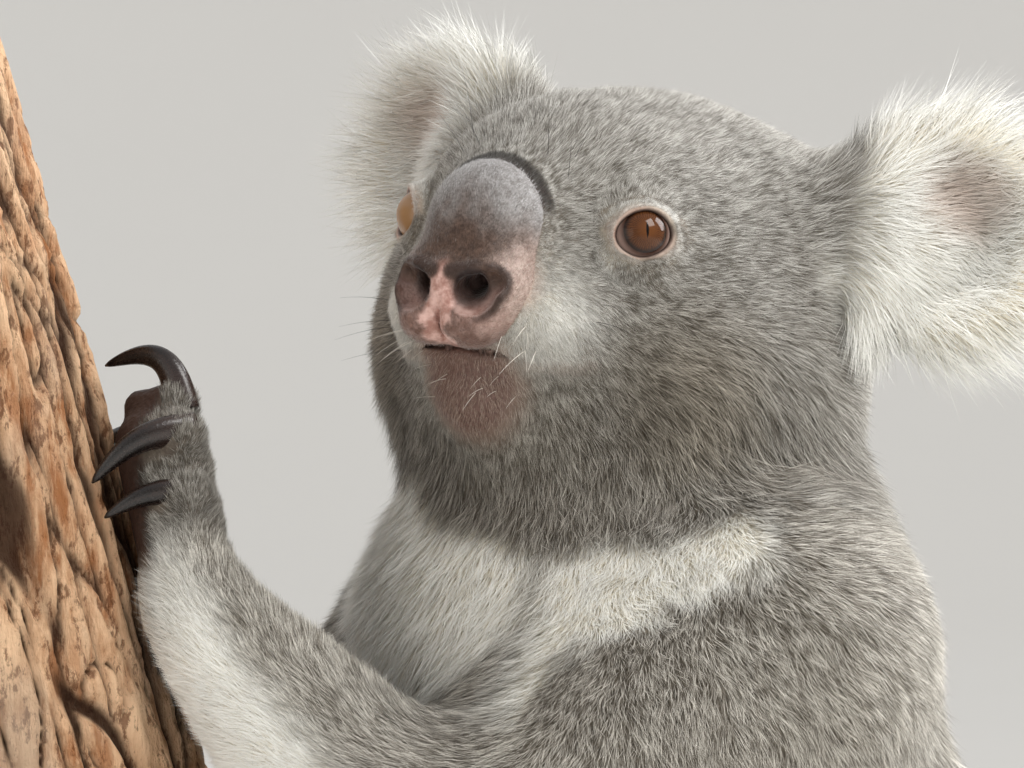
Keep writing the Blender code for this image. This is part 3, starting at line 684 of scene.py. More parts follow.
def settled(form, points, longest):
    """The points moved onto the zero surface by two short steps along its slope."""
    for _ in range(2):
        here, slope = slope_of(form, points)
        step = slope * (here / np.maximum((slope**2).sum(-1), 0.25))[:, None]
        size = np.linalg.norm(step, axis=-1, keepdims=True)
        points = points - step * np.minimum(1.0, longest / np.maximum(size, 1e-9))
    return points


def meshed(form, low, high, cell, name):
    """A mesh of a distance function's zero surface inside a box."""
    points, quads = surface_nets(untangled(banded(form, low, high, cell), 0.05 * cell), low, cell)
    return mesh_of(name, points, quads)


def mesh_of(name, points, faces):
    """A smooth-shaded mesh from arrays of points and of faces that all have as many corners."""
    faces = np.asarray(faces)
    mesh = bpy.data.meshes.new(name)
    mesh.vertices.add(len(points))
    mesh.vertices.foreach_set("co", np.asarray(points, np.float32).ravel())
    mesh.loops.add(faces.size)
    mesh.loops.foreach_set("vertex_index", faces.astype(np.int32).ravel())
    mesh.polygons.add(len(faces))
    mesh.polygons.foreach_set("loop_start", np.arange(0, faces.size, faces.shape[1], dtype=np.int32))
    mesh.polygons.foreach_set("use_smooth", np.ones(len(faces), bool))
    mesh.update(calc_edges=True)
    return mesh


def points_of(mesh):
    """Place and normal of each point of a mesh."""
    places, normals = np.zeros((2, len(mesh.vertices) * 3), np.float32)
    mesh.vertices.foreach_get("co", places)
    mesh.vertex_normals.foreach_get("vector", normals)
    return places.reshape(-1, 3).astype(float), normals.reshape(-1, 3).astype(float)


def triples(*parts):
    """Three numbers for each point, from arrays or from numbers that are the same all over."""
    return np.stack(np.broadcast_arrays(*parts), axis=1)


def vectors(mesh, name, *parts):
    """Keeps three numbers on each point of a mesh."""
    kept = mesh.attributes.new(name, "FLOAT_VECTOR", "POINT")
    kept.data.foreach_set("vector", triples(*parts).astype(np.float32).ravel())


def piece(mesh, name, material, slot, *nodes):
    """An object of the model that rides on the body, takes a finish and may stand for CAD nodes."""
    made = bpy.data.objects.new(name, mesh)
    bpy.context.scene.collection.objects.link(made)
    mesh.materials.clear()
    mesh.materials.append(material)
    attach(made, BODY)
    if nodes:
        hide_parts(*nodes)
    return made


# ---- markings -----------------------------------------------------------------------------------


def bib_marks(points, shares, ragged):
    """1 on the pale bib of chest and throat, which runs back over the left and right shoulder."""
    turn = np.arctan2(points[:, 0] + 0.006, 0.050 - points[:, 1])
    top = np.minimum(0.3576 + 0.029 * (turn - 0.68) ** 2, 0.378)
    turn = np.abs(turn)
    middle = smooth(turn, 0.72, 0.45)
    bottom = 0.3314 + 0.049 * (turn - 0.74) - 0.15 * middle
    bib = smooth(top - points[:, 2] + 0.6 * ragged, -0.003, 0.003)
    bib = bib * smooth(points[:, 2] - bottom + ragged, -0.005, 0.005)
    belly = middle * smooth(share_of(shares, "chest", "rump"), 0.25, 0.60)
    bib = bib * np.maximum(belly, smooth(turn, 0.50, 0.72))
    reach = np.hypot(points[:, 0], points[:, 1] - 0.050)
    return bib * smooth(turn, 1.36, 1.24) * smooth(reach, 0.112, 0.100)


def arm_pale(pale, points, normals, shares, ragged):
    """The pale marks with those of the arms: the forearms' undersides and a band at each wrist."""
    down = normals @ unit(np.array(-view_right) * 0.8 + np.array((0, 0, -0.9))) + 25 * ragged
    for side, (_, elbow, wrist, _, _) in zip(SIDES, ARMS):
        hand = share_of(shares, "hand_" + side)
        limb = share_of(shares, "fore_" + side)
        pale = np.maximum(pale, smooth(limb, 0.3, 0.8) * smooth(down, -0.45, 0.15))
        band = smooth(np.abs(way_along(points, elbow, wrist) - 0.93), 0.13, 0.04) * smooth(down, -0.75, 0.0)
        pale = np.maximum(pale, 0.65 * smooth(limb + hand, 0.4, 0.9) * band)
        pale = pale * (1 - 0.95 * smooth(hand, 0.50, 0.80))
    return pale


def ear_marks(q, ragged):
    """How pale and how pink the ears are, with the white tuft that hangs below each."""
    pale, pink = np.zeros((2, len(q)))
    for name in EARS:
        side, local, near = side_of(name), ear_axes(q, name), near_head_ear(q, name)
        disc = np.hypot(local[:, 0] + 0.003 * side, local[:, 2] + 0.002)
        front = smooth(local[:, 1], 0.006, -0.001)
        low = smooth(local[:, 2] - 0.3 * local[:, 0] * side, 0.006, -0.012)
        rim = smooth(disc, PINNA_R * 0.55, PINNA_R * 0.85)
        fringe = np.maximum(front * (0.82 + 0.18 * low), 0.45 + 0.35 * rim)
        pale = np.maximum(pale, on_ear(q, name) * fringe)
        below = away_from(local, (-0.034 * side, 0.0, -0.028), (1.0, 1.6, 1.3))
        pale = np.maximum(pale, 0.75 * near * smooth(below + ragged, 0.0200, 0.0080))
        spot = np.hypot(local[:, 0] + 0.005 * side, 1.3 * (local[:, 2] - 0.007))
        inner = 0.9 * smooth(spot, 0.018, 0.006) * smooth(local[:, 1], 0.004, -0.002)
        pink = np.maximum(pink, inner * near)
    return pale, pink


def face_marks(f, ragged):
    """How pale and how pink the face is: muzzle sides, a ring round the eye, chin, lips and nose sides."""
    eye = eye_axes(f)
    ball = np.linalg.norm(eye[:, :2] / (1.08, 0.90), axis=-1) + 0.3 * ragged
    pale = np.maximum(0.64 * nearness(f, (0.0225, -0.0700, -0.0195), 0.024, 0.002),
                      0.50 * smooth(ball + 0.6 * ragged, 0.0132, 0.0070))
    ring = smooth(ball + 0.0012 * smooth(eye[:, 1], -0.002, 0.005), 0.0104, 0.0066)
    ring = ring * smooth(eye[:, 2], 0.0, 0.004)
    flank = nearness(f, (0.0165, -0.0740, -0.0120), 0.0075, 0.0030, (1.0, 1.0, 1.5))
    lips = smooth(mouth_line(f), 0.0040, 0.0012)
    return pale, np.maximum.reduce([0.9 * chin_nearness(f), 0.8 * lips, 0.9 * ring, 0.55 * flank])


def face_dark(q, f, pale):
    """How dark the face is: the arc over the nose, the line of the mouth, jaw, front and jowls; the jaw and
    jowls are darker fur with painted shade laid in.
    """
    arc = smooth(nose_rise(f), 0.0018, 0.0008) * smooth(q[:, 2], 0.003, 0.010)
    mouth = 0.75 * smooth(mouth_line(f), 0.0022, 0.0010)
    # darker fur under the jaw, partly painted shade beneath the head
    jaw = 0.36 * smooth(q[:, 2] - 0.5 * q[:, 1], -0.010, -0.045)
    front = 0.20 + 0.14 * smooth(q[:, 1], 0.03, -0.02)
    # darker fur on the jowls, partly painted shade
    jowl = 0.50 * nearness(f, (0.034, -0.040, -0.034), 0.030, 0.006, (1.0, 1.0, 1.15))
    return np.maximum(np.maximum(arc, mouth), np.maximum.reduce([jaw, front, jowl]) * (1 - pale))


def limb_dark(points, shares, ragged):
    """How dark the hands and feet are: pads, palms, soles, fingers and the hands' fur, the fingers and hands
    partly with painted shade.
    """
    dark = np.zeros(len(points))
    for *_, hand in ARMS:
        for *_, pad in digit_bones(hand):
            dark = np.maximum(dark, nearness(points, pad, 0.0140, 0.0100))
    hands = share_of(shares, "hand_left", "hand_right")
    palm = smooth(perch_distance(points), 0.0130, 0.0090) * smooth(hands, 0.3, 0.7)
    sole = smooth(points[:, 2], FLOOR + 0.008, FLOOR + 0.004) * smooth(-points[:, 1], -0.02, 0.01)
    # fingers and hands: darker skin and fur, partly painted shade
    fingers = smooth(digit_distance(points), 0.006, 0.0) * smooth(points[:, 2], 0.20, 0.22)
    hand_fur_and_shade = 0.48 * smooth(hands + 8 * ragged, 0.45, 0.75)
    return np.maximum.reduce([dark, palm, sole, hand_fur_and_shade, 0.55 * fingers])


def markings(points, normals):
    """How pale, pink, dark and brown skin and coat are at each point, each from 0 to 1."""
    q = head_axes(points)
    f = folded(q)
    near_head = nearness(q, (0, 0, 0), 0.100, 0.078)
    ragged = 0.010 * (noise(points, 0.010, 41) - 0.5) + 0.006 * (noise(points, 0.004, 42) - 0.5)
    shares = region_shares(points)
    ear_pale, ear_pink = ear_marks(q, ragged)
    face_pale, face_pink = face_marks(f, ragged)
    pale = arm_pale(bib_marks(points, shares, ragged), points, normals, shares, ragged)
    pale = np.maximum.reduce([pale, ear_pale, near_head * face_pale])
    pink = np.maximum(near_head * face_pink, ear_pink)
    dark = np.maximum(near_head * face_dark(q, f, pale), limb_dark(points, shares, ragged))
    brown = np.maximum(nearness(f, CHEEK, 0.034, 0.010), 0.5 * smooth(q[:, 2], 0.0, -0.05))
    return pale, pink, dark, np.maximum(near_head * brown, 0.35 * (1 - near_head))


def chin_nearness(f):
    """1 on the bare chin, falling to 0 round it, for places on the head's left half."""
    return nearness(f, CHIN, 0.021, 0.011, (1.0, 1.0, 1.05))


def near_head_ear(q, name):
    """1 on and round one ear, 0 on the rest of the body."""
    return nearness(ear_axes(q, name), (0, 0, 0), 0.052, 0.040)


def on_ear(q, name):
    """1 on one ear outward of its root, 0 on the head and body."""
    outward = smooth(ear_axes(q, name)[:, 0] * side_of(name), -0.036, -0.026)
    return near_head_ear(q, name) * smooth(pinna_form(q, name), 0.009, 0.003) * outward


# ---- the skin -----------------------------------------------------------------------------------

SKIN_CELL = 0.0021
SKIN_LOW, SKIN_HIGH = np.array((-0.18, -0.18, FLOOR - 0.009)), np.array((0.17, 0.23, 0.52))
BODY_KEPT = 0.30                              # share of the body's faces that the thinning keeps
FINER = (
    # how far from the face, eye and lips each division of the mesh reaches
    (0.052, 0.0, 0.0),
    (0.0, 0.0150, 0.0060),
    (0.0, 0.0115, 0.0036),
)


def detail_wanted(points):
    """1 where the skin needs its finest mesh: lids, lips, ears, fingers and toes."""
    q = head_axes(points)
    wanted = nearness(folded(q), (0.010, -0.055, -0.012), 0.060, 0.040)
    for name in EARS:
        wanted = np.maximum(wanted, 0.7 * near_head_ear(q, name))
    return np.maximum(wanted, 0.6 * smooth(digit_distance(points), 0.010, 0.004))


def skin_mesh():
    mesh = meshed(skin_form, SKIN_LOW, SKIN_HIGH, SKIN_CELL, "skin")
    body = bpy.data.objects.new("skin", mesh)
    bpy.context.scene.collection.objects.link(body)
    spare = body.vertex_groups.new(name="spare")
    wanted = np.round(1 - detail_wanted(points_of(mesh)[0]), 1)
    for level in np.unique(wanted):
        spare.add(np.flatnonzero(wanted == level).tolist(), float(level), "REPLACE")
    thin = body.modifiers.new("Thin", "DECIMATE")
    thin.ratio = BODY_KEPT
    thin.vertex_group = "spare"
    thin.vertex_group_factor = 1.0
    graph = bpy.context.evaluated_depsgraph_get()
    made = bpy.data.meshes.new_from_object(body.evaluated_get(graph))
    bpy.data.objects.remove(body)
    return refined(made)


def refined(mesh):
    """The skin with its mesh divided where the face, eyes and mouth need it, and settled again."""
    bm = bmesh.new()
    bm.from_mesh(mesh)
    for face, eye, lips in FINER:
        co = np.array([v.co for v in bm.verts])
        f = folded(head_axes(co))
        close = away_from(f, (0.012, -0.062, -0.010)) < face
        close |= (away_from(f, EYE_PLACE) < eye) | (mouth_line(f) < lips)
        chosen = [e for e in bm.edges if close[e.verts[0].index] and close[e.verts[1].index]]
        bmesh.ops.subdivide_edges(bm, edges=chosen, cuts=1, use_grid_fill=True)
        bmesh.ops.triangulate(bm, faces=[p for p in bm.faces if len(p.verts) > 3])
        bm.verts.index_update()
        co = settled(skin_form, np.array([v.co for v in bm.verts]), 0.0016)
        for v, place in zip(bm.verts, co):
            v.co = place
    bm.to_mesh(mesh)
    bm.free()
    mesh.polygons.foreach_set("use_smooth", np.ones(len(mesh.polygons), bool))
    mesh.update()
    return mesh


# ---- materials ----------------------------------------------------------------------------------


def linear(red, green, blue):
    """A colour given as it looks, 0 to 255, as the light that it gives back."""
    parts = [c / 255.0 for c in (red, green, blue)]
    return tuple(c / 12.92 if c <= 0.04045 else ((c + 0.055) / 1.055) ** 2.4 for c in parts) + (1.0,)


class Nodes:
    """A material's nodes, made and joined by short calls."""

    def __init__(self, name, roughness, **constants):
        self.material = bpy.data.materials.new(name)
        self.material.use_nodes = True
        self.tree = self.material.node_tree
        self.shader = self.tree.nodes["Principled BSDF"]
        self.shader.inputs["Roughness"].default_value = roughness
        for socket, value in constants.items():
            self.shader.inputs[socket.replace("_", " ")].default_value = value

    def fill(self, socket, value):
        if isinstance(value, bpy.types.NodeSocket):
            self.tree.links.new(value, socket)
        elif value is not None:
            socket.default_value = value

    def node(self, kind, inputs, **settings):
        """A new node with its inputs filled, by number or name, and its settings made."""
        made = self.tree.nodes.new("ShaderNode" + kind)
        for setting, value in settings.items():
            setattr(made, setting, value)
        for socket, value in inputs.items():
            self.fill(made.inputs[socket], value)
        return made.outputs

    def parts(self, name):
        """The three numbers that the mesh keeps on each point under a name."""
        kept = self.node("Attribute", {}, attribute_name=name)["Vector"]
        return tuple(self.node("SeparateXYZ", {0: kept}))

    def place(self, stretch):
        """The point's place on the object, stretched."""
        spot = self.node("TexCoord", {})["Object"]
        return self.node("VectorMath", {0: spot, 1: stretch}, operation="MULTIPLY")[0]

    def noise(self, scale, detail=3.0, stretch=(1.0, 1.0, 1.0), rough=0.6):
        given = {"Scale": scale, "Detail": detail, "Roughness": rough, "Vector": self.place(stretch)}
        return self.node("TexNoise", given)["Fac"]

    def cells(self, scale):
        return self.node("TexVoronoi", {"Scale": scale, "Vector": self.place((1.0, 1.0, 1.0))})["Distance"]

    def maths(self, operation, *values):
        return self.node("Math", dict(enumerate(values)), operation=operation)[0]

    def step(self, value, low, high, out_low=0.0, out_high=1.0):
        """The value moved from one range to another with soft ends, and kept inside it."""
        given = dict(enumerate((value, low, high, out_low, out_high)))
        return self.node("MapRange", given, interpolation_type="SMOOTHSTEP")[0]

    def mix(self, share, first, second, kind="MIX"):
        """The second colour laid over the first by the share given."""
        return self.node("Mix", {0: share, 6: first, 7: second}, data_type="RGBA", blend_type=kind)[2]

    def bump(self, height, strength, distance):
        made = self.node("Bump", {"Strength": strength, "Distance": distance, "Height": height})
        self.fill(self.shader.inputs["Normal"], made[0])

    def finish(self, colour, roughness=None):
        self.fill(self.shader.inputs["Base Color"], colour)
        self.fill(self.shader.inputs["Roughness"], roughness)
        return self.material


FUR_DEEP, FUR_DARK, FUR_LIGHT = linear(92, 85, 74), linear(98, 91, 80), linear(234, 231, 223)
FUR_CREAM, FUR_WHITE, FUR_BROWN = linear(246, 238, 218), linear(255, 255, 250), linear(214, 198, 172)
FUR_BLACK, FUR_PINK = linear(34, 29, 25), linear(196, 166, 148)
UNDER_GREY, UNDER_PALE = linear(126, 118, 105), linear(226, 218, 200)
SKIN_PINK, SKIN_ROSE, SKIN_CHIN = linear(212, 184, 170), linear(184, 146, 130), linear(98, 70, 62)
SKIN_DARK, SKIN_SEAM = linear(36, 25, 21), linear(40, 24, 19)


def coat_material():
    """Grey fur with dark roots, light and dark tips, cream parts and brown cheeks."""
    n = Nodes("coat", 0.66, Specular_IOR_Level=0.18, Sheen_Weight=0.10, Sheen_Roughness=0.5)
    pale, pink, dark = n.parts("mark")
    clump, brown, _ = n.parts("hair")
    along, chance, _ = n.parts("blade")
    tuft = n.maths("ADD", n.maths("MULTIPLY", clump, 0.45), n.maths("MULTIPLY", chance, 0.55))
    tip = n.mix(n.step(tuft, 0.20, 0.80), FUR_DARK, FUR_LIGHT)
    grey = n.mix(n.step(along, 0.0, 0.7), FUR_DEEP, tip)
    grey = n.mix(n.maths("MULTIPLY", brown, 0.50), grey, n.mix(1.0, grey, FUR_BROWN, "MULTIPLY"))
    cream = n.mix(n.step(along, 0.0, 0.6), FUR_CREAM, FUR_WHITE)
    cream = n.mix(n.step(tuft, 0.5, 0.0, 0.0, 0.14), cream, linear(214, 203, 180))
    colour = n.mix(pale, grey, cream)
    colour = n.mix(n.maths("MULTIPLY", pink, 0.65), colour, FUR_PINK)
    colour = n.mix(n.maths("MULTIPLY", dark, 0.92), colour, FUR_BLACK)
    return n.finish(colour)


def skin_material():
    """The skin under the coat: downy and of the coat's colours under the fur, wrinkled where it's bare."""
    n = Nodes("skin", 0.55, Specular_IOR_Level=0.30)
    pale, pink, dark = n.parts("mark")
    crease, chin, _ = n.parts("bare")
    fine = n.noise(900.0, 4.0)
    down = n.step(n.noise(520.0, 5.0, rough=0.75), 0.36, 0.66, 0.62, 1.18)
    shade = n.node("CombineColor", {0: down, 1: down, 2: down})[0]
    base = n.mix(1.0, n.mix(pale, UNDER_GREY, UNDER_PALE), shade, "MULTIPLY")
    bare = n.mix(n.step(n.noise(260.0, 3.0), 0.35, 0.7), SKIN_PINK, SKIN_ROSE)
    bare = n.mix(chin, bare, n.mix(n.step(fine, 0.3, 0.7), SKIN_CHIN, linear(128, 98, 90)))
    colour = n.mix(pink, base, bare)
    colour = n.mix(dark, colour, n.mix(fine, SKIN_DARK, linear(70, 50, 42)))
    colour = n.mix(crease, colour, SKIN_SEAM)
    n.bump(n.maths("ADD", fine, n.cells(700.0)), 0.35, 0.0006)
    return n.finish(colour, n.step(fine, 0.2, 0.8, 0.46, 0.66))


def nose_material():
    """Felted skin: grey on top, partly painted sheen, dark brown in front, bare and pink between the
    nostrils, and dark in them with painted shade.
    """
    n = Nodes("nose_leather", 0.55, Specular_IOR_Level=0.35, Sheen_Weight=0.20, Sheen_Roughness=0.4)
    pink, hole, rim = n.parts("mark")
    grey, flank, _ = n.parts("felt")
    mottle = n.step(n.noise(520.0, 5.0), 0.32, 0.68)
    felt = n.mix(mottle, linear(62, 44, 35), linear(94, 72, 60))
    # paler grey top, partly painted sheen
    felt = n.mix(grey, felt, n.mix(mottle, linear(112, 107, 104), linear(150, 147, 146)))
    felt = n.mix(flank, felt, n.mix(mottle, linear(136, 112, 102), linear(178, 156, 146)))
    bare = n.mix(n.step(n.noise(300.0, 4.0), 0.35, 0.68), linear(210, 174, 164), linear(156, 114, 102))
    colour = n.mix(pink, felt, bare)
    # dark nostril rims, with painted shade over the upper inside of each bowl
    colour = n.mix(n.maths("MULTIPLY", rim, 0.85), colour, linear(54, 38, 32))
    # painted shade deep in the nostrils
    colour = n.mix(hole, colour, linear(30, 15, 12))
    n.bump(n.maths("ADD", n.cells(1150.0), n.noise(1800.0, 3.0)), 0.5, 0.0004)
    return n.finish(colour, n.step(n.noise(500.0), 0.3, 0.7, 0.44, 0.62))


def felt_material():
    """The very short fur on the nose, of the nose's colours, its grey top partly painted sheen, and paler at
    its tips.
    """
    n = Nodes("nose_felt", 0.6, Specular_IOR_Level=0.25, Sheen_Weight=0.35, Sheen_Roughness=0.4)
    pink, _, rim = n.parts("mark")
    grey, flank, _ = n.parts("felt")
    along, tuft, _ = n.parts("blade")
    colour = n.mix(tuft, linear(62, 45, 36), linear(108, 86, 73))
    # grey tips on top of the nose, partly painted sheen
    colour = n.mix(grey, colour, n.mix(tuft, linear(104, 99, 96), linear(190, 189, 189)))
    colour = n.mix(flank, colour, n.mix(tuft, linear(134, 114, 104), linear(200, 184, 172)))
    colour = n.mix(n.maths("MULTIPLY", pink, 0.8), colour, linear(196, 158, 146))
    colour = n.mix(n.maths("MULTIPLY", rim, 0.7), colour, linear(64, 48, 42))
    deeper = n.mix(1.0, colour, colour, "MULTIPLY")
    return n.finish(n.mix(n.step(along, 0.0, 1.0, 0.35, 0.0), colour, deeper))


IRIS_EDGE = 5.75                              # millimetres from the iris's middle to its edge


def eye_material():
    """A brown iris with fine spokes, an upright slit, a dark edge and a dull pink white."""
    n = Nodes("eye", 0.06, Specular_IOR_Level=0.10, Coat_Weight=0.28, Coat_Roughness=0.015)
    across, up, _ = n.parts("iris")
    squares = n.maths("ADD", n.maths("MULTIPLY", across, across), n.maths("MULTIPLY", up, up))
    radius = n.maths("SQRT", squares)
    angle = n.maths("ARCTAN2", up, across)
    wave = n.maths("MULTIPLY_ADD", n.noise(700.0, 4.0), 9.0, n.maths("MULTIPLY", angle, 23.0))
    spokes = n.maths("ABSOLUTE", n.maths("SINE", wave))
    iris = n.mix(spokes, linear(52, 28, 12), linear(86, 50, 24))
    iris = n.mix(n.step(radius, 3.4, 1.0, 0.0, 0.5), iris, linear(104, 62, 30))
    iris = n.mix(n.step(radius, IRIS_EDGE - 1.5, IRIS_EDGE - 0.2), iris, linear(30, 17, 11))
    white = n.mix(n.step(radius, IRIS_EDGE, IRIS_EDGE + 1.6), linear(70, 48, 40), linear(168, 144, 134))
    colour = n.mix(n.step(radius, IRIS_EDGE - 0.15, IRIS_EDGE + 0.15), iris, white)
    leaning = n.maths("SUBTRACT", across, n.maths("MULTIPLY", up, 0.22))
    slit = n.maths("ADD", n.maths("MULTIPLY", n.maths("ABSOLUTE", leaning), 3.1),
                   n.maths("MULTIPLY", n.maths("MULTIPLY", up, up), 0.22))
    colour = n.mix(n.step(slit, 1.25, 0.85), colour, linear(8, 5, 5))
    return n.finish(colour)


def horn_material():
    """Dark polished horn with fine lengthwise lines, browner at the root."""
    n = Nodes("claw_horn", 0.28, Specular_IOR_Level=0.40, Coat_Weight=0.15, Coat_Roughness=0.12)
    along, round_it, _ = n.parts("claw")
    grain = n.noise(1400.0, 3.0)
    lines = n.maths("SINE", n.maths("MULTIPLY_ADD", grain, 6.0, n.maths("MULTIPLY", round_it, 40.0)))
    colour = n.mix(n.step(along, 0.0, 0.55), linear(48, 34, 29), linear(17, 11, 10))
    colour = n.mix(n.step(lines, 0.2, 1.0, 0.0, 0.30), colour, linear(58, 43, 37))
    n.bump(lines, 0.15, 0.0002)
    return n.finish(colour, n.step(grain, 0.3, 0.7, 0.22, 0.36))


def bark_material():
    """Fissured bark: pale flakes over red-brown plates and dark cracks, with wood at the cut ends."""
    n = Nodes("bark", 0.9, Specular_IOR_Level=0.15)
    crack, end, layer = n.parts("bark")
    ring, _, _ = n.parts("cut")
    long_grain = n.noise(210.0, 8.0, (1.0, 1.0, 0.13), 0.72)
    flakes = n.noise(330.0, 6.0, (1.0, 1.0, 0.42), 0.7)
    patch = n.noise(30.0, 4.0, (1.0, 1.0, 0.4))
    colour = n.mix(n.step(layer, 0.15, 0.80), linear(176, 118, 76), linear(250, 208, 168))
    colour = n.mix(n.step(long_grain, 0.42, 0.62, 0.0, 0.75), colour, linear(252, 212, 172))
    colour = n.mix(n.step(flakes, 0.48, 0.38, 0.0, 0.75), colour, linear(112, 66, 38))
    colour = n.mix(n.step(patch, 0.52, 0.74, 0.0, 0.50), colour, linear(176, 158, 142))
    colour = n.mix(n.step(crack, 0.20, 0.75, 0.0, 0.95), colour, linear(52, 29, 17))
    rings = n.maths("SINE", n.maths("MULTIPLY_ADD", n.noise(60.0), 5.0, n.maths("MULTIPLY", ring, 2600.0)))
    wood = n.mix(n.step(rings, -1.0, 1.0), linear(198, 160, 116), linear(226, 196, 152))
    colour = n.mix(end, colour, wood)
    relief = n.maths("ADD", n.maths("MULTIPLY", long_grain, 1.2), flakes)
    n.bump(n.maths("ADD", relief, n.noise(900.0, 5.0, (1.0, 1.0, 0.3))), 0.9, 0.0030)
    return n.finish(colour)


def board_material():
    """Satin pale board with a faint orange-peel surface."""
    n = Nodes("board", 0.45, Specular_IOR_Level=0.4)
    tone = n.noise(14.0, 5.0)
    n.bump(n.noise(1500.0, 2.0), 0.12, 0.0003)
    colour = n.mix(tone, linear(214, 211, 204), linear(226, 223, 217))
    return n.finish(colour, n.step(tone, 0.3, 0.7, 0.40, 0.52))


def steel_material():
    """Turned steel, brushed round the rod."""
    n = Nodes("steel", 0.3, Metallic=1.0)
    lines = n.noise(60.0, 4.0, (0.05, 0.05, 40.0))
    n.bump(lines, 0.1, 0.0002)
    colour = n.mix(lines, linear(168, 168, 170), linear(206, 206, 208))
    return n.finish(colour, n.step(lines, 0.3, 0.7, 0.24, 0.40))


def plain_material(name, colour, roughness):
    """One colour that hardly changes over the surface."""
    n = Nodes(name, roughness)
    tone = n.noise(3.0, 2.0)
    return n.finish(n.mix(tone, colour, tuple(0.985 * c for c in colour[:3]) + (1.0,)))


# ---- eyes, nose, claws --------------------------------------------------------------------------


def rings_mesh(name, rings, closed_ends=True):
    """A mesh through rows of points that each go round once, closed over its first and last row or open."""
    rows, across = len(rings), len(rings[0])
    points = np.concatenate(rings)
    near = np.arange(across)
    quads = []
    for row in range(rows - 1):
        a, b = row * across + near, row * across + np.roll(near, -1)
        quads.append(np.stack([a, b, b + across, a + across], axis=1))
    mesh = bpy.data.meshes.new(name)
    faces = np.concatenate(quads).tolist()
    if closed_ends:
        faces += [list(range(across))[::-1], [(rows - 1) * across + k for k in range(across)]]
    mesh.from_pydata(points.tolist(), [], faces)
    mesh.polygons.foreach_set("use_smooth", np.ones(len(mesh.polygons), bool))
    mesh.update()
    return mesh


EYE_SIDES, EYE_RINGS = 72, 64
EYE_BULGE = 0.00045                           # how far the clear front stands out of the ball


def eye(side, material):
    """An eyeball whose clear front bulges a little, with its iris round the way it looks."""
    flip = np.array((side_of(side), 1.0, 1.0))
    out = unit(np.array(EYE_LOOK) * flip)
    across = unit(np.cross(out, np.array((0.0, 0.0, 1.0))))
    up = np.cross(across, out)
    centre = np.array(EYE_PLACE) * flip
    rings, iris = [], []
    a = np.linspace(0, 2 * math.pi, EYE_SIDES, endpoint=False)
    for turn in np.linspace(0.012, math.pi - 0.012, EYE_RINGS):
        radius = EYE_RADIUS + EYE_BULGE * smooth(turn, 0.75, 0.0)
        reach = radius * math.sin(turn)
        ring = (centre + out * radius * math.cos(turn)
                + (across * np.cos(a)[:, None] + up * np.sin(a)[:, None]) * reach)
        rings.append(np.array(HEAD) + ring @ TURN.T)
        spread = 1000 * EYE_RADIUS * math.sin(min(turn, math.pi / 2))
        iris.append(triples(np.cos(a) * spread, np.sin(a) * spread, 0.0))
    mesh = rings_mesh("eyeball_" + side, rings)
    vectors(mesh, "iris", *np.concatenate(iris).T)
    piece(mesh, "eyeball_" + side, material, "eye", "eye_" + side)


NOSE_CELL = 0.0006


def nose_skin(points):
    """The nose: a long oval with wide nostrils, full pads under them and the cleft of the lip."""
    f = folded(head_axes(points))
    d = np.maximum(nose_rise(f), f[..., 1] - NOSE_BACK)
    d = blend(d, ellipsoid(f, (0.0062, -0.0780, -0.0256), (0.0078, 0.0080, 0.0058)), 0.003)
    d = blend(d, cone(f, (0, -0.0830, -0.0130), (0, -0.0828, -0.0210), 0.0036, 0.0034), 0.003)
    d = d - 0.0005 * bell(ellipsoid(f, *NOSTRIL), 0.0010, 0.0010) * smooth(f[..., 0], 0.010, 0.014)
    d = hollow(d, nostril(f), 0.0012)
    d = blend(d, cone(f, *NOSTRIL_LID), 0.0016)
    cleft = cone(f, (0, -0.0865, -0.0215), (0, -0.0770, -0.0310), 0.0, 0.0)
    return d + 0.0016 * bell(cleft, 0.0, 0.0007)


def nose_marks(points):
    """How pink, deep in a nostril (painted shade), dark-rimmed (with painted shade over each bowl's upper
    inside), grey on top (paler felt and painted sheen) and pale in flank the nose is at each point.
    """
    q = head_axes(points)
    f = folded(q)
    bowl = nostril(f)
    hole = cone(f, *NOSTRIL_HOLE, *NOSTRIL_BORE)
    ragged = 0.004 * (noise(points, 0.003, 61) - 0.5)
    septum = smooth(f[:, 0] + ragged, 0.0056, 0.0026) * smooth(q[:, 2] + ragged, -0.0100, -0.0140)
    under = 0.32 * smooth(q[:, 2] + ragged, -0.0190, -0.0240)
    height = q[:, 2] - 0.4 * (f[:, 0] - NOSTRIL[0][0])
    floor = 0.90 * smooth(bowl, 0.0006, -0.0004) * smooth(height, -0.0150, -0.0200)
    pink = np.maximum.reduce([septum, under, floor])
    # deep: painted shade in the bore of each nostril
    deep = smooth(hole, 0.0026, 0.0004) * smooth(bowl, 0.001, -0.0005)
    lid = smooth(cone(f, *NOSTRIL_LID), 0.0012, 0.0002)
    rim = bell(bowl, 0.0008, 0.0009) * smooth(f[:, 0], 0.0100, 0.0130)
    # painted shade over the upper inside of each nostril's bowl, under its overhang
    rim = np.maximum(rim, 0.8 * smooth(bowl, 0.0004, -0.0006) * smooth(q[:, 2], -0.0200, -0.0150))
    rim = np.maximum(rim * (1 - deep), lid)
    # grey on top: the felt's paler hairs, partly painted sheen on the top of the nose
    grey = smooth(q[:, 2] + 0.40 * f[:, 0] + 2 * ragged, -0.0040, 0.0150)
    flank = smooth(f[:, 0] + ragged, 0.0100, 0.0170) * smooth(q[:, 2], 0.006, -0.009)
    flank = flank * smooth(bowl, 0.0012, 0.0030)
    return pink * (1 - lid), deep, rim, grey, flank


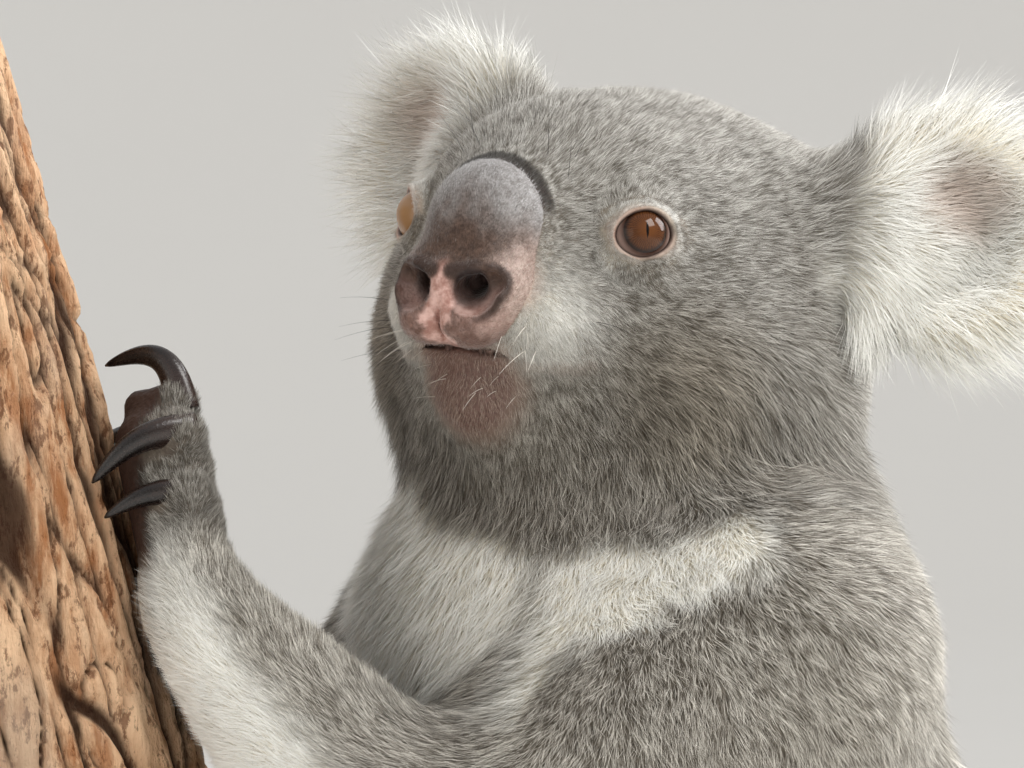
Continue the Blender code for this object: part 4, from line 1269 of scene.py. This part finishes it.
def nose(material):
    centre = np.array(on_head((0, -0.068, -0.008)))
    mesh = meshed(nose_skin, centre - 0.036, centre + 0.036, NOSE_CELL, "nose_skin")
    pink, deep, rim, grey, flank = nose_marks(points_of(mesh)[0])
    vectors(mesh, "mark", pink, deep, rim)
    vectors(mesh, "felt", grey, flank, 0.0)
    piece(mesh, "nose_skin", material, "nose", "nose")
    return mesh


CLAW_SIDES, CLAW_RINGS = 20, 26
CLAW_FULLER = 1.16                            # how much thicker a horn is at its root than its size
CLAW_SUNK = 0.0030                            # how far a horn's root lies inside the digit
BOW_START = 0.12                              # where on a half circle's bow a claw begins


def claw_mesh(name, base, tip, up, thickness, arch):
    """A smooth horn that bows from its root to a blunt point, taller than it is wide and keeled below."""
    base = base - (tip - base).normalized() * CLAW_SUNK
    along = tip - base
    up = (Vector(up) - along * (Vector(up).dot(along) / along.length_squared)).normalized()
    side = along.cross(up).normalized()
    a = np.linspace(0, 2 * math.pi, CLAW_SIDES, endpoint=False)
    rings, marks = [], []
    for t in np.linspace(0, 0.995, CLAW_RINGS):
        turn = math.pi * (BOW_START + (1 - BOW_START) * t)
        bow = math.sin(turn) - math.sin(math.pi * BOW_START) * (1 - t)
        centre = np.array(base + along * t + up * (along.length * arch * bow))
        ahead = along / along.length + up * (arch * math.pi * (1 - BOW_START) * math.cos(turn))
        rise = np.array(side.cross(ahead).normalized())
        size = CLAW_FULLER * thickness * (1 - t) ** 0.55
        tall = np.where(np.sin(a) < 0, 0.86, 1.0) * np.sin(a)
        rings.append(centre + size * (tall[:, None] * rise + 0.72 * np.cos(a)[:, None] * np.array(side)))
        marks.append(triples(t, a / (2 * math.pi), 0.0))
    mesh = rings_mesh(name, rings)
    vectors(mesh, "claw", *np.concatenate(marks).T)
    return mesh


def claws(material):
    """The horn of every claw of the hands and feet. The inner toe of a foot has none."""
    for side, hand in zip(SIDES, (FINGERS_LEFT, fingers_right)):
        for name, (_, root, _, tip, size, arch) in hand.items():
            level, angle, out = root
            base = on_perch(*root)
            up = on_perch(level + 0.006 + arch * 0.03, angle, out + 0.012) - base
            label = f"hand_{side}_{name}"
            mesh = claw_mesh("horn_" + label, base, on_perch(*tip), up, size, arch)
            piece(mesh, "horn_" + label, material, "claw", "claw_" + label)
    for side, sole in zip(SIDES, (SOLE_LEFT, SOLE_RIGHT)):
        for _, end, name, way in toes(sole):
            if name == "toe1":
                continue
            small = 0.72 if name == "toe2" else 1.0
            tip = end + way * 0.021 * small + Vector((0, 0, -0.0075))
            tip.z = max(tip.z, FLOOR + 0.0015)
            label = f"foot_{side}_{name}"
            base = end + way * 0.001 + Vector((0, 0, 0.0025))
            mesh = claw_mesh("horn_" + label, base, tip, (0, 0, 1), 0.0044 * small, 0.24)
            piece(mesh, "horn_" + label, material, "claw", "claw_" + label)


# ---- perch --------------------------------------------------------------------------------------

BARK_SIDES, BARK_LEVELS = 300, 270
BARK_OUT = 0.0012                             # how far the bark's highest plates stand out of the trunk
BARK_DEPTH, BARK_LAYERS = 0.0046, 0.0034      # how deep its cracks are, and how thick all its layers are


def ridged(points, size, seed, sharp):
    """Noise with narrow valleys: 1 in the middle of a crack, 0 on the plates between."""
    return 1 - np.clip(np.abs(2 * noise(points, size, seed) - 1) * sharp, 0, 1)


def terraced(values, steps):
    """The values cut into flat steps with short soft risers."""
    whole = np.floor(values * steps)
    return (whole + smooth(values * steps - whole, 0.72, 1.0)) / steps


def bark_relief(round_it, level):
    """How cracked the bark is and how many layers of it are left, each from 0 to 1, along one ring."""
    wander = 0.0055 * swirl(round_it + np.array((0, 0, level * 0.30)), 0.014, 71)
    spot = round_it + wander + np.array((0, 0, level * 0.085))
    crack = np.maximum(ridged(spot, 0.0105, 81, 5.0), 0.75 * ridged(spot, 0.0050, 82, 3.6))
    broken = round_it + wander + np.array((0, 0, level * 0.55))
    short = ridged(broken, 0.0080, 83, 5.0) * smooth(noise(broken, 0.018, 84), 0.45, 0.62)
    crack = np.clip(np.maximum(crack, 0.65 * short), 0, 1)
    layer = 0.55 * noise(round_it + wander + np.array((0, 0, level * 0.34)), 0.0062, 85)
    layer = layer + 0.45 * noise(round_it + np.array((0, 0, level * 0.50)), 0.0024, 86)
    return crack, terraced(layer, 7)


def bark(material):
    """The cut length of trunk, with long plates of flaking bark between deep cracks."""
    a = np.linspace(0, 2 * math.pi, BARK_SIDES, endpoint=False)
    circle = triples(np.cos(a), np.sin(a), 0.0)
    rings, marks, cuts = [], [], []
    for level in np.linspace(PERCH_BOTTOM, PERCH_TOP, BARK_LEVELS):
        crack, layer = bark_relief(circle * PERCH_RADIUS, level)
        swell = 1.0 + 0.05 * max(0.0, 1 - (level - PERCH_BOTTOM) / 0.15)
        radius = PERCH_RADIUS * swell + BARK_OUT - BARK_DEPTH * crack - BARK_LAYERS * (1 - layer)
        rings.append(np.array(perch_centre(level)) + circle * radius[:, None])
        marks.append(triples(crack, 0.0, layer))
        cuts.append(triples(radius, 0.0, 0.0))
    for end, level in ((0, PERCH_BOTTOM), (-1, PERCH_TOP)):
        edge, centre = rings[end], np.array(perch_centre(level))
        for share in (0.985, 0.8, 0.6, 0.4, 0.2, 0.02):
            radius = np.linalg.norm(edge - centre, axis=1) * share
            at = 0 if end == 0 else len(rings)
            rings.insert(at, centre + (edge - centre) * share)
            marks.insert(at, triples(0.0 * radius, 1.0, 0.0))
            cuts.insert(at, triples(radius, 0.0, 0.0))
    mesh = rings_mesh("perch_bark", rings)
    vectors(mesh, "bark", *np.concatenate(marks).T)
    vectors(mesh, "cut", *np.concatenate(cuts).T)
    piece(mesh, "perch_bark", material, "perch_bark", "perch_trunk")


# ---- the coat -----------------------------------------------------------------------------------

PIECE_TRIANGLES = 190000                      # most triangles in one piece of coat
EAR_COVER = 3.6                               # how many blades deep the coat lies on the ears
EAR_HAIR, EAR_FRINGE = 0.0105, 0.0115         # length of its hairs, and how much longer they are at the rim
BLADE_LIES = 0.55                             # share of a blade's length by width that it covers
PATCH = 0.003                                 # width of a blade's patch on the map for baking
BLADE = {
    # corners in a blade: (its triangles, how far along each corner is, its outline on the map for baking)
    3: (((0, 1, 2),), (0.0, 0.0, 1.0), ((-0.5, -0.5), (0.5, -0.5), (0.0, 0.5))),
    5: (((0, 1, 3), (0, 3, 2), (2, 3, 4)), (0.0, 0.0, 0.5, 0.5, 1.0),
        ((-0.5, -0.5), (0.5, -0.5), (-0.4, 0.0), (0.4, 0.0), (0.0, 0.5))),
}
CLUMP = 0.0009                                # size of the light and dark clumps of hairs
SHADE_LEAN = 0.28                             # how far a blade's shading strays from the body's under it
ROOT_SUNK = 0.0003                            # how far a blade's root lies in the skin
FLOOR_GAP = 0.0009                            # how far above the stand's flats every tip stays
rng = np.random.default_rng(7)


def lie_on_limbs(points, shares):
    """The way the coat lies on the trunk and limbs: down the trunk and along each limb."""
    ways = [unit(np.array(b) - np.array(a)) for a, b, *_ in REGIONS.values()]
    ways[REGION_NAMES.index("chest")] = unit(np.array((0, 0.10, -1.0)))
    ways[REGION_NAMES.index("rump")] = unit(np.array((0, 0.20, -1.0)))
    ways[REGION_NAMES.index("head")] = np.zeros(3)
    way = shares @ np.array(ways) + np.array((0.0, 0.15, -0.35))
    for side, (shoulder, elbow, *_) in zip(SIDES, ARMS):
        upper = "upper_" + side
        limb = share_of(shares, upper) * (1 - smooth(way_along(points, shoulder, elbow), 0.1, 0.9))
        way = way + limb[:, None] * (np.array((0.0, 0.5, -0.9)) - ways[REGION_NAMES.index(upper)])
    return way


def lie_of_coat(points, normals):
    """The way the coat lies at each point, along the skin."""
    q = head_axes(points)
    f = folded(q)
    unfold = np.sign(q + (0, 10, 10))
    shares = region_shares(points)
    from_nose = unit(f - np.array((0.0, -0.085, -0.004)))
    from_nose = from_nose + np.array((0.0, 0.0, -0.25)) * smooth(f[:, [2]], 0.01, -0.03)
    head = share_of(shares, "head")[:, None]
    way = lie_on_limbs(points, shares) * (1 - head) + head * ((from_nose * unfold) @ TURN.T)
    eye = eye_axes(f)
    round_eye = smooth(np.hypot(eye[:, 0], eye[:, 1]), 0.0165, 0.0100) * smooth(eye[:, 2], -0.002, 0.003)
    way = way + 2.0 * round_eye[:, None] * (unit((f - np.array(EYE_PLACE)) * unfold) @ TURN.T)
    for name in EARS:
        spread = unit(ear_axes(q, name) * (1, 0, 1) - np.array((-0.040 * side_of(name), 0, -0.001)))
        near = on_ear(q, name)[:, None]
        way = way * (1 - near) + near * (spread @ ear_facing(name).T @ TURN.T)
    way = unit(way) + 0.28 * swirl(points, 0.014, 11) + 0.30 * swirl(points, 0.004, 21)
    return unit(way - normals * (way * normals).sum(-1, keepdims=True))


def face_cover(f, cover, near_head, ring):
    """How much of the coat is left round the lids and lips, on the nose and on the chin."""
    eye = eye_axes(f)
    front = smooth(eye[:, 2], -0.002, 0.001) * near_head
    cover = cover * (1 - front * smooth(lid_opening(eye), 1.28, 1.10)) * (1 - 0.20 * ring)
    cover = cover * (1 - near_head * smooth(mouth_line(f), 0.0016, 0.0009))
    cover = cover * (1 - near_head * smooth(nose_rise(f), 0.0001, -0.0004))
    return cover * (1 - 0.86 * chin_nearness(f) * near_head)


def grip_cover(points, cover, shares):
    """How much of the coat is left on the pads, by the claws, against the trunk and under the koala."""
    for hand in (FINGERS_LEFT, fingers_right):
        for *_, pad in digit_bones(hand):
            cover = cover * smooth(away_from(points, pad), 0.0100, 0.0130)
        for _, root, _, tip, size, _ in hand.values():
            horn = cone(points, on_perch(*root), on_perch(*tip), size, 0.4 * size)
            cover = cover * smooth(horn, 0.0004, 0.0016)
    hand = smooth(share_of(shares, "hand_left", "hand_right"), 0.3, 0.6)
    cover = cover * smooth(perch_distance(points) - 0.0045 * hand, 0.0035, 0.0060)
    return cover * smooth(points[:, 2], FLOOR + 0.0008, FLOOR + 0.0030)


def coat_sizes(points):
    """Length, width, lift and cover of the blades at each point of the skin."""
    q = head_axes(points)
    f = folded(q)
    shares = region_shares(points)
    near_head = nearness(q, (0, 0, 0), 0.105, 0.085)
    bare = face_nearness(q) * near_head
    length, width, cover = (region_value(shares, column) for column in (5, 6, 7))
    length = length * (1 + 0.55 * nearness(f, (0.045, 0.004, -0.028), 0.050, 0.020) * near_head)
    length, width = toward(length, 0.0030, bare), toward(width, 0.00014, bare)
    length = length * (1 - 0.55 * near_head * smooth(nose_rise(f), 0.0040, 0.0015))
    digit = smooth(digit_distance(points), 0.006, 0.001)
    length, width = toward(length, 0.0032, digit), toward(width, 0.00022, digit)
    lift = 0.40 - 0.12 * bare
    for name in EARS:
        fluff = smooth(pinna_form(q, name), 0.016, 0.002) * near_head_ear(q, name) * (1 - on_ear(q, name))
        length, lift = length + 0.0050 * fluff, lift + 0.15 * fluff

    eye = eye_axes(f)
    ring = smooth(lid_opening(eye), 2.1, 1.4) * (smooth(eye[:, 2], -0.002, 0.001) * near_head)
    length = length * (1 - 0.50 * ring)
    cover = face_cover(f, cover, near_head, ring)

    for name in EARS:
        side, local, near = side_of(name), ear_axes(q, name), on_ear(q, name)
        disc = np.hypot(local[:, 0] + 0.005 * side, local[:, 2] + 0.002)
        rim = smooth(disc, PINNA_R * 0.50, PINNA_R * 0.92)
        outward = smooth(local[:, 0] * side, -0.024, -0.006)
        front = smooth(local[:, 1], 0.003, -0.002)
        length = toward(length, EAR_HAIR + EAR_FRINGE * rim * (0.7 + 0.3 * outward), near)
        width = toward(width, 0.00019, near)
        lift = toward(lift, 0.40 + 0.20 * front, near)
        cover = toward(cover, EAR_COVER, near)
    return length, width, lift, grip_cover(points, cover, shares)


def roots_on(mesh, thinned):
    """Places all over a mesh for blades to grow from, closer where blades are small, with their normals."""
    mesh.calc_loop_triangles()
    corners = np.zeros(len(mesh.loop_triangles) * 3, np.int32)
    mesh.loop_triangles.foreach_get("vertices", corners)
    corners = corners.reshape(-1, 3)
    points, normals = points_of(mesh)
    a, b, c = (points[corners[:, k]] for k in range(3))
    area = 0.5 * np.linalg.norm(np.cross(b - a, c - a), axis=-1)
    length, width, _, cover = coat_sizes((a + b + c) / 3)
    wanted = np.cumsum(thinned * area * cover / (BLADE_LIES * length * width))
    count = int(wanted[-1])
    at = (np.arange(count) + rng.random(count)) * wanted[-1] / count
    chosen = np.minimum(np.searchsorted(wanted, at), len(area) - 1)
    s, t = rng.random(count), rng.random(count)
    over = s + t > 1
    s[over], t[over] = 1 - s[over], 1 - t[over]
    shares = np.stack([1 - s - t, s, t], axis=1)
    corner = corners[chosen]
    root = sum(points[corner[:, k]] * shares[:, [k]] for k in range(3))
    normal = unit(sum(normals[corner[:, k]] * shares[:, [k]] for k in range(3)))
    return root, normal


def blades(root, normal, length, width, lift, bent):
    """Corners of the blades, three each for straight ones and five for bent, and which miss the trunk."""
    count = len(root)
    way = lie_of_coat(root, normal)
    turn = rng.normal(0, 0.24, (count, 1))
    way = unit(way * np.cos(turn) + np.cross(normal, way) * np.sin(turn))
    length = (length * rng.uniform(0.72, 1.18, count))[:, None]
    rise = (lift + rng.normal(0, 0.10, count))[:, None]
    gather = swirl(root, 0.0032, 31) * 0.15 + swirl(root, 0.0075, 36) * 0.08
    tip = root + length * (way * np.cos(rise) + normal * np.sin(rise) + gather)
    side = unit(np.cross(way, normal))
    roll = rng.normal(0, 0.35, (count, 1))
    side = side * np.cos(roll) + normal * np.sin(roll)
    half = 0.5 * width[:, None] * side
    sunk = root - normal * ROOT_SUNK
    kept = perch_distance(tip) > GRIP_GAP
    tip[:, 2] = np.maximum(tip[:, 2], FLOOR + FLOOR_GAP)
    if not bent:
        return np.stack([sunk - half, sunk + half, tip], axis=1), kept
    steep = rise + 0.22
    middle = root + 0.5 * length * (way * np.cos(steep) + normal * np.sin(steep) + 0.5 * gather)
    middle[:, 2] = np.maximum(middle[:, 2], FLOOR + FLOOR_GAP)
    return np.stack([sunk - half, sunk + half, middle - 0.8 * half, middle + 0.8 * half, tip], axis=1), kept


def bake_places(points, normals):
    """An unwrap of the skin's own shape: six flat charts, one for each way that the skin can face."""
    axis = np.abs(normals).argmax(axis=1)
    rows = np.arange(len(points))
    chart = axis * 2 + (normals[rows, axis] > 0)
    low, size = points.min(0), (points.max(0) - points.min(0)).max() + 1e-6
    share = (points - low) / size
    u = share[rows, (axis + 1) % 3]
    v = share[rows, (axis + 2) % 3]
    return np.stack([(chart % 3 + 0.03 + 0.94 * u) / 3, (chart // 3 + 0.03 + 0.94 * v) / 2], axis=1)


def coat_piece(name, corners, root, normal, material, **marks):
    """One piece of coat: its blades as a mesh, with their markings and their map for baking.

    The blades take their shading from the body under them, leaning a little their own way, as fur does.
    """
    count, each = corners.shape[:2]
    fans, along, outline = BLADE[each]
    triangles = (np.arange(count)[:, None, None] * each + np.array(fans)).reshape(-1, 3)
    mesh = mesh_of(name, corners.reshape(-1, 3), triangles)
    for mark, columns in marks.items():
        vectors(mesh, mark, *(np.repeat(column, each) for column in columns))
    vectors(mesh, "blade", np.tile(along, count), np.repeat(rng.random(count), each), 0.0)
    uv = bake_places(root, normal)[:, None, :] + PATCH * np.array(outline)
    baked = mesh.uv_layers.new(name="OFBake")
    baked.uv.foreach_set("vector", uv.reshape(-1, 2)[triangles.ravel()].astype(np.float32).ravel())
    leaning = unit(normal + SHADE_LEAN * rng.normal(0, 1, (count, 3)))
    mesh.normals_split_custom_set_from_vertices(np.repeat(leaning, each, axis=0).tolist())
    return piece(mesh, name, material, "coat")


def coat_parts(root):
    """Which blades belong to which part of the coat, by the part's name."""
    q = head_axes(root)
    near = region_shares(root).argmax(axis=1)
    ear = {name: on_ear(q, name) > 0.4 for name in EARS}
    free = ~(ear["left"] | ear["right"])
    parts = {"ear_" + name: ear[name] for name in EARS}
    regions_of = {name: [name] for name in ("head", "chest", "rump")}
    for limb, kinds in (("arm", ("upper", "fore", "hand")), ("leg", ("thigh", "shank", "foot"))):
        for side in SIDES:
            regions_of[f"{limb}_{side}"] = [f"{kind}_{side}" for kind in kinds]
    for part, regions in regions_of.items():
        parts[part] = free & np.isin(near, [REGION_NAMES.index(region) for region in regions])
    return parts


def coat(skin, material, thinned):
    """The whole coat, in pieces by part of the body."""
    root, normal = roots_on(skin, thinned)
    for part, chosen in coat_parts(root).items():
        chosen = np.flatnonzero(chosen)
        bent = part.startswith("ear")
        length, width, lift, _ = coat_sizes(root[chosen])
        corners, kept = blades(root[chosen], normal[chosen], length, width, lift, bent)
        chosen, corners = chosen[kept], corners[kept]
        order = np.argsort(root[chosen] @ np.array((0.55, 0.45, 0.70)), kind="stable")
        pieces = max(1, math.ceil(len(order) * (3 if bent else 1) / PIECE_TRIANGLES))
        for n, rows in enumerate(np.array_split(order, pieces)):
            at, up = root[chosen[rows]], normal[chosen[rows]]
            pale, pink, dark, brown = markings(at, up)
            clump = np.clip(1.8 * noise(at, CLUMP, 51) - 0.4, 0, 1)
            coat_piece(f"coat_{part}_{n + 1}", corners[rows], at, up, material,
                       mark=(pale, pink, dark), hair=(clump, brown, 0 * brown))


NOSE_HAIRS, NOSE_HAIR = 70000, 0.0010         # how many hairs are tried, and how long one is
NOSE_SUNK, NOSE_HAIR_HALF = 0.0001, 0.00006   # how far a hair's root lies in the nose, and half its width


def nose_felt(mesh, material):
    """The very short fur all over the nose but for the inside of the nostrils."""
    points, normals = points_of(mesh)
    pick = rng.choice(len(points), NOSE_HAIRS)
    root = points[pick] + rng.normal(0, 0.00020, (len(pick), 3))
    normal = normals[pick]
    q = head_axes(root)
    keep = (nostril(folded(q)) > 0.0003) & (q[:, 1] < NOSE_BACK - 0.0010)
    keep &= nose_marks(root)[0] < 0.4 + 0.6 * rng.random(len(root))
    root, normal = root[keep], normal[keep]
    way = np.array(head_turn @ Vector((0, 0.55, 0.85))) + 0.35 * swirl(root, 0.004, 91)
    way = unit(way - normal * (way * normal).sum(-1, keepdims=True))
    length = (NOSE_HAIR * rng.uniform(0.7, 1.2, len(root)))[:, None]
    side = NOSE_HAIR_HALF * unit(np.cross(way, normal))
    sunk = root - normal * NOSE_SUNK
    tip = root + length * (0.88 * way + 0.30 * normal)
    corners = np.stack([sunk - side, sunk + side, tip], axis=1)
    pink, deep, rim, grey, flank = nose_marks(root)
    coat_piece("coat_nose", corners, root, normal, material,
               mark=(pink, deep, rim), felt=(grey, flank, 0 * grey))


WHISKERS = (
    # root in the head's own axes, way, length, dark or white, how many
    ((0.013, -0.060, 0.016), (0.35, -0.55, 0.75), 0.020, True, 3),
    ((0.030, -0.052, -0.020), (0.75, -0.60, -0.15), 0.016, True, 4),
    ((0.016, -0.066, -0.0265), (0.35, -0.75, -0.55), 0.011, False, 6),
    ((0.008, -0.068, -0.040), (0.20, -0.85, -0.45), 0.006, False, 6),
)
WHISKER_RINGS = 7


def whisker(place, way, length, flip):
    """Points of one thin bowed three-sided spike, three for each of its rings, from the skin to its tip."""
    at = Vector(place) + Vector(rng.normal(0, 0.0035, 3).tolist())
    at.x = abs(at.x) * flip
    lean = (Vector((way[0] * flip, way[1], way[2])) + Vector(rng.normal(0, 0.16, 3).tolist())).normalized()
    for _ in range(40):
        at -= lean * float(skin_form(np.array([on_head(at)]))[0]) * 0.7
    reach = length * rng.uniform(0.7, 1.2)
    droop = Vector((0, 0, -0.18 * reach))
    across = lean.orthogonal().normalized()
    points = []
    for step in np.linspace(0, 1, WHISKER_RINGS):
        middle = at + lean * (reach * step) + droop * step ** 2
        thick = 0.00008 * (1 - step) + 0.00002
        for corner in range(3):
            spin = Matrix.Rotation(2 * math.pi * corner / 3, 3, lean)
            points.append(on_head(middle + (spin @ across) * thick))
    return points


def whiskers(dark, white):
    """Stiff bristles over the eyes, on the cheeks and along the lips."""
    for number, (place, way, length, is_dark, count) in enumerate(WHISKERS):
        points, triangles = [], []
        for flip in (1.0, -1.0):
            for _ in range(count):
                for step in range(WHISKER_RINGS - 1):
                    for corner in range(3):
                        a, b = (len(points) + 3 * step + c for c in (corner, (corner + 1) % 3))
                        triangles += [(a, b, b + 3), (a, b + 3, a + 3)]
                points += whisker(place, way, length, flip)
        name = f"whiskers_{number + 1}"
        piece(mesh_of(name, np.array(points), triangles), name, dark if is_dark else white, "coat")


# ---- all together -------------------------------------------------------------------------------


BOWL_FLOOR, BOWL_BEND = 7.8, 3.6              # radius of the flat floor and of the bend up into the wall
BOWL_HEIGHT = 4.6


def backdrop(material):
    """A pale floor that curves up into a wall behind, seen from every side as a plain bowl."""
    rings = []
    a = np.linspace(0, 2 * math.pi, 96, endpoint=False)
    rows = [(0.02, 0.0), (1.0, 0.0), (BOWL_FLOOR, 0.0)]
    for t in np.linspace(0.15, math.pi / 2, 9):
        rows.append((BOWL_FLOOR + BOWL_BEND * math.sin(t), BOWL_BEND - BOWL_BEND * math.cos(t)))
    rows.append((BOWL_FLOOR + BOWL_BEND, BOWL_HEIGHT))
    for radius, height in rows:
        rings.append(triples(radius * np.cos(a), radius * np.sin(a), height))
    mesh = rings_mesh("studio_floor", rings, closed_ends=False)
    made = bpy.data.objects.new("studio_floor", mesh)
    bpy.context.scene.collection.objects.link(made)
    mesh.materials.append(material)


def world(colour, strength):
    made = bpy.data.worlds.new("studio")
    made.use_nodes = True
    made.node_tree.nodes["Background"].inputs["Color"].default_value = colour
    made.node_tree.nodes["Background"].inputs["Strength"].default_value = strength
    bpy.context.scene.world = made
    bpy.context.scene.view_settings.view_transform = "Standard"


def marked_skin(material):
    """The skin in the place of all nodes of flesh, with the coat's markings and its own bare parts."""
    skin = skin_mesh()
    points, normals = points_of(skin)
    vectors(skin, "mark", *markings(points, normals)[:3])
    f = folded(head_axes(points))
    eye_at, lips = eye_axes(f), mouth_line(f)
    lid = smooth(lid_opening(eye_at), 1.16, 1.02) * smooth(eye_at[:, 2], 0, 0.002)
    crease = np.maximum(smooth(lips, 0.0016, 0.0005), lid) * nearness(f, (0, 0, 0), 0.11, 0.10)
    vectors(skin, "bare", crease, np.maximum(chin_nearness(f), smooth(lips, 0.004, 0.001)), 0.0)
    flesh = ["head", "neck", "torso"]
    for part in ("ear", "upper_arm", "forearm", "hand", "thigh", "shank", "foot"):
        flesh += [f"{part}_{side}" for side in SIDES]
    piece(skin, "skin", material, "coat", *flesh)
    return skin


def main():
    world(linear(240, 240, 240), 0.85)
    backdrop(plain_material("studio", linear(240, 238, 234), 0.9))
    fur = coat_material()
    skin = marked_skin(skin_material())
    # The left eyeball has the iris with its slit; the right one keeps the frame's plain eye colour.
    for side, material in zip(SIDES, (eye_material(), bpy.data.materials["eye"])):
        eye(side, material)
    snout = nose(nose_material())
    claws(horn_material())
    bark(bark_material())
    coat(skin, fur, 1.0)
    nose_felt(snout, felt_material())
    whiskers(plain_material("whisker_dark", linear(40, 34, 30), 0.4),
             plain_material("whisker_white", linear(236, 230, 220), 0.4))
    for node, material in (("stand_base", board_material()), ("stand_rod", steel_material())):
        for slot in frame["nodes"][node].material_slots:
            slot.material = material


main()
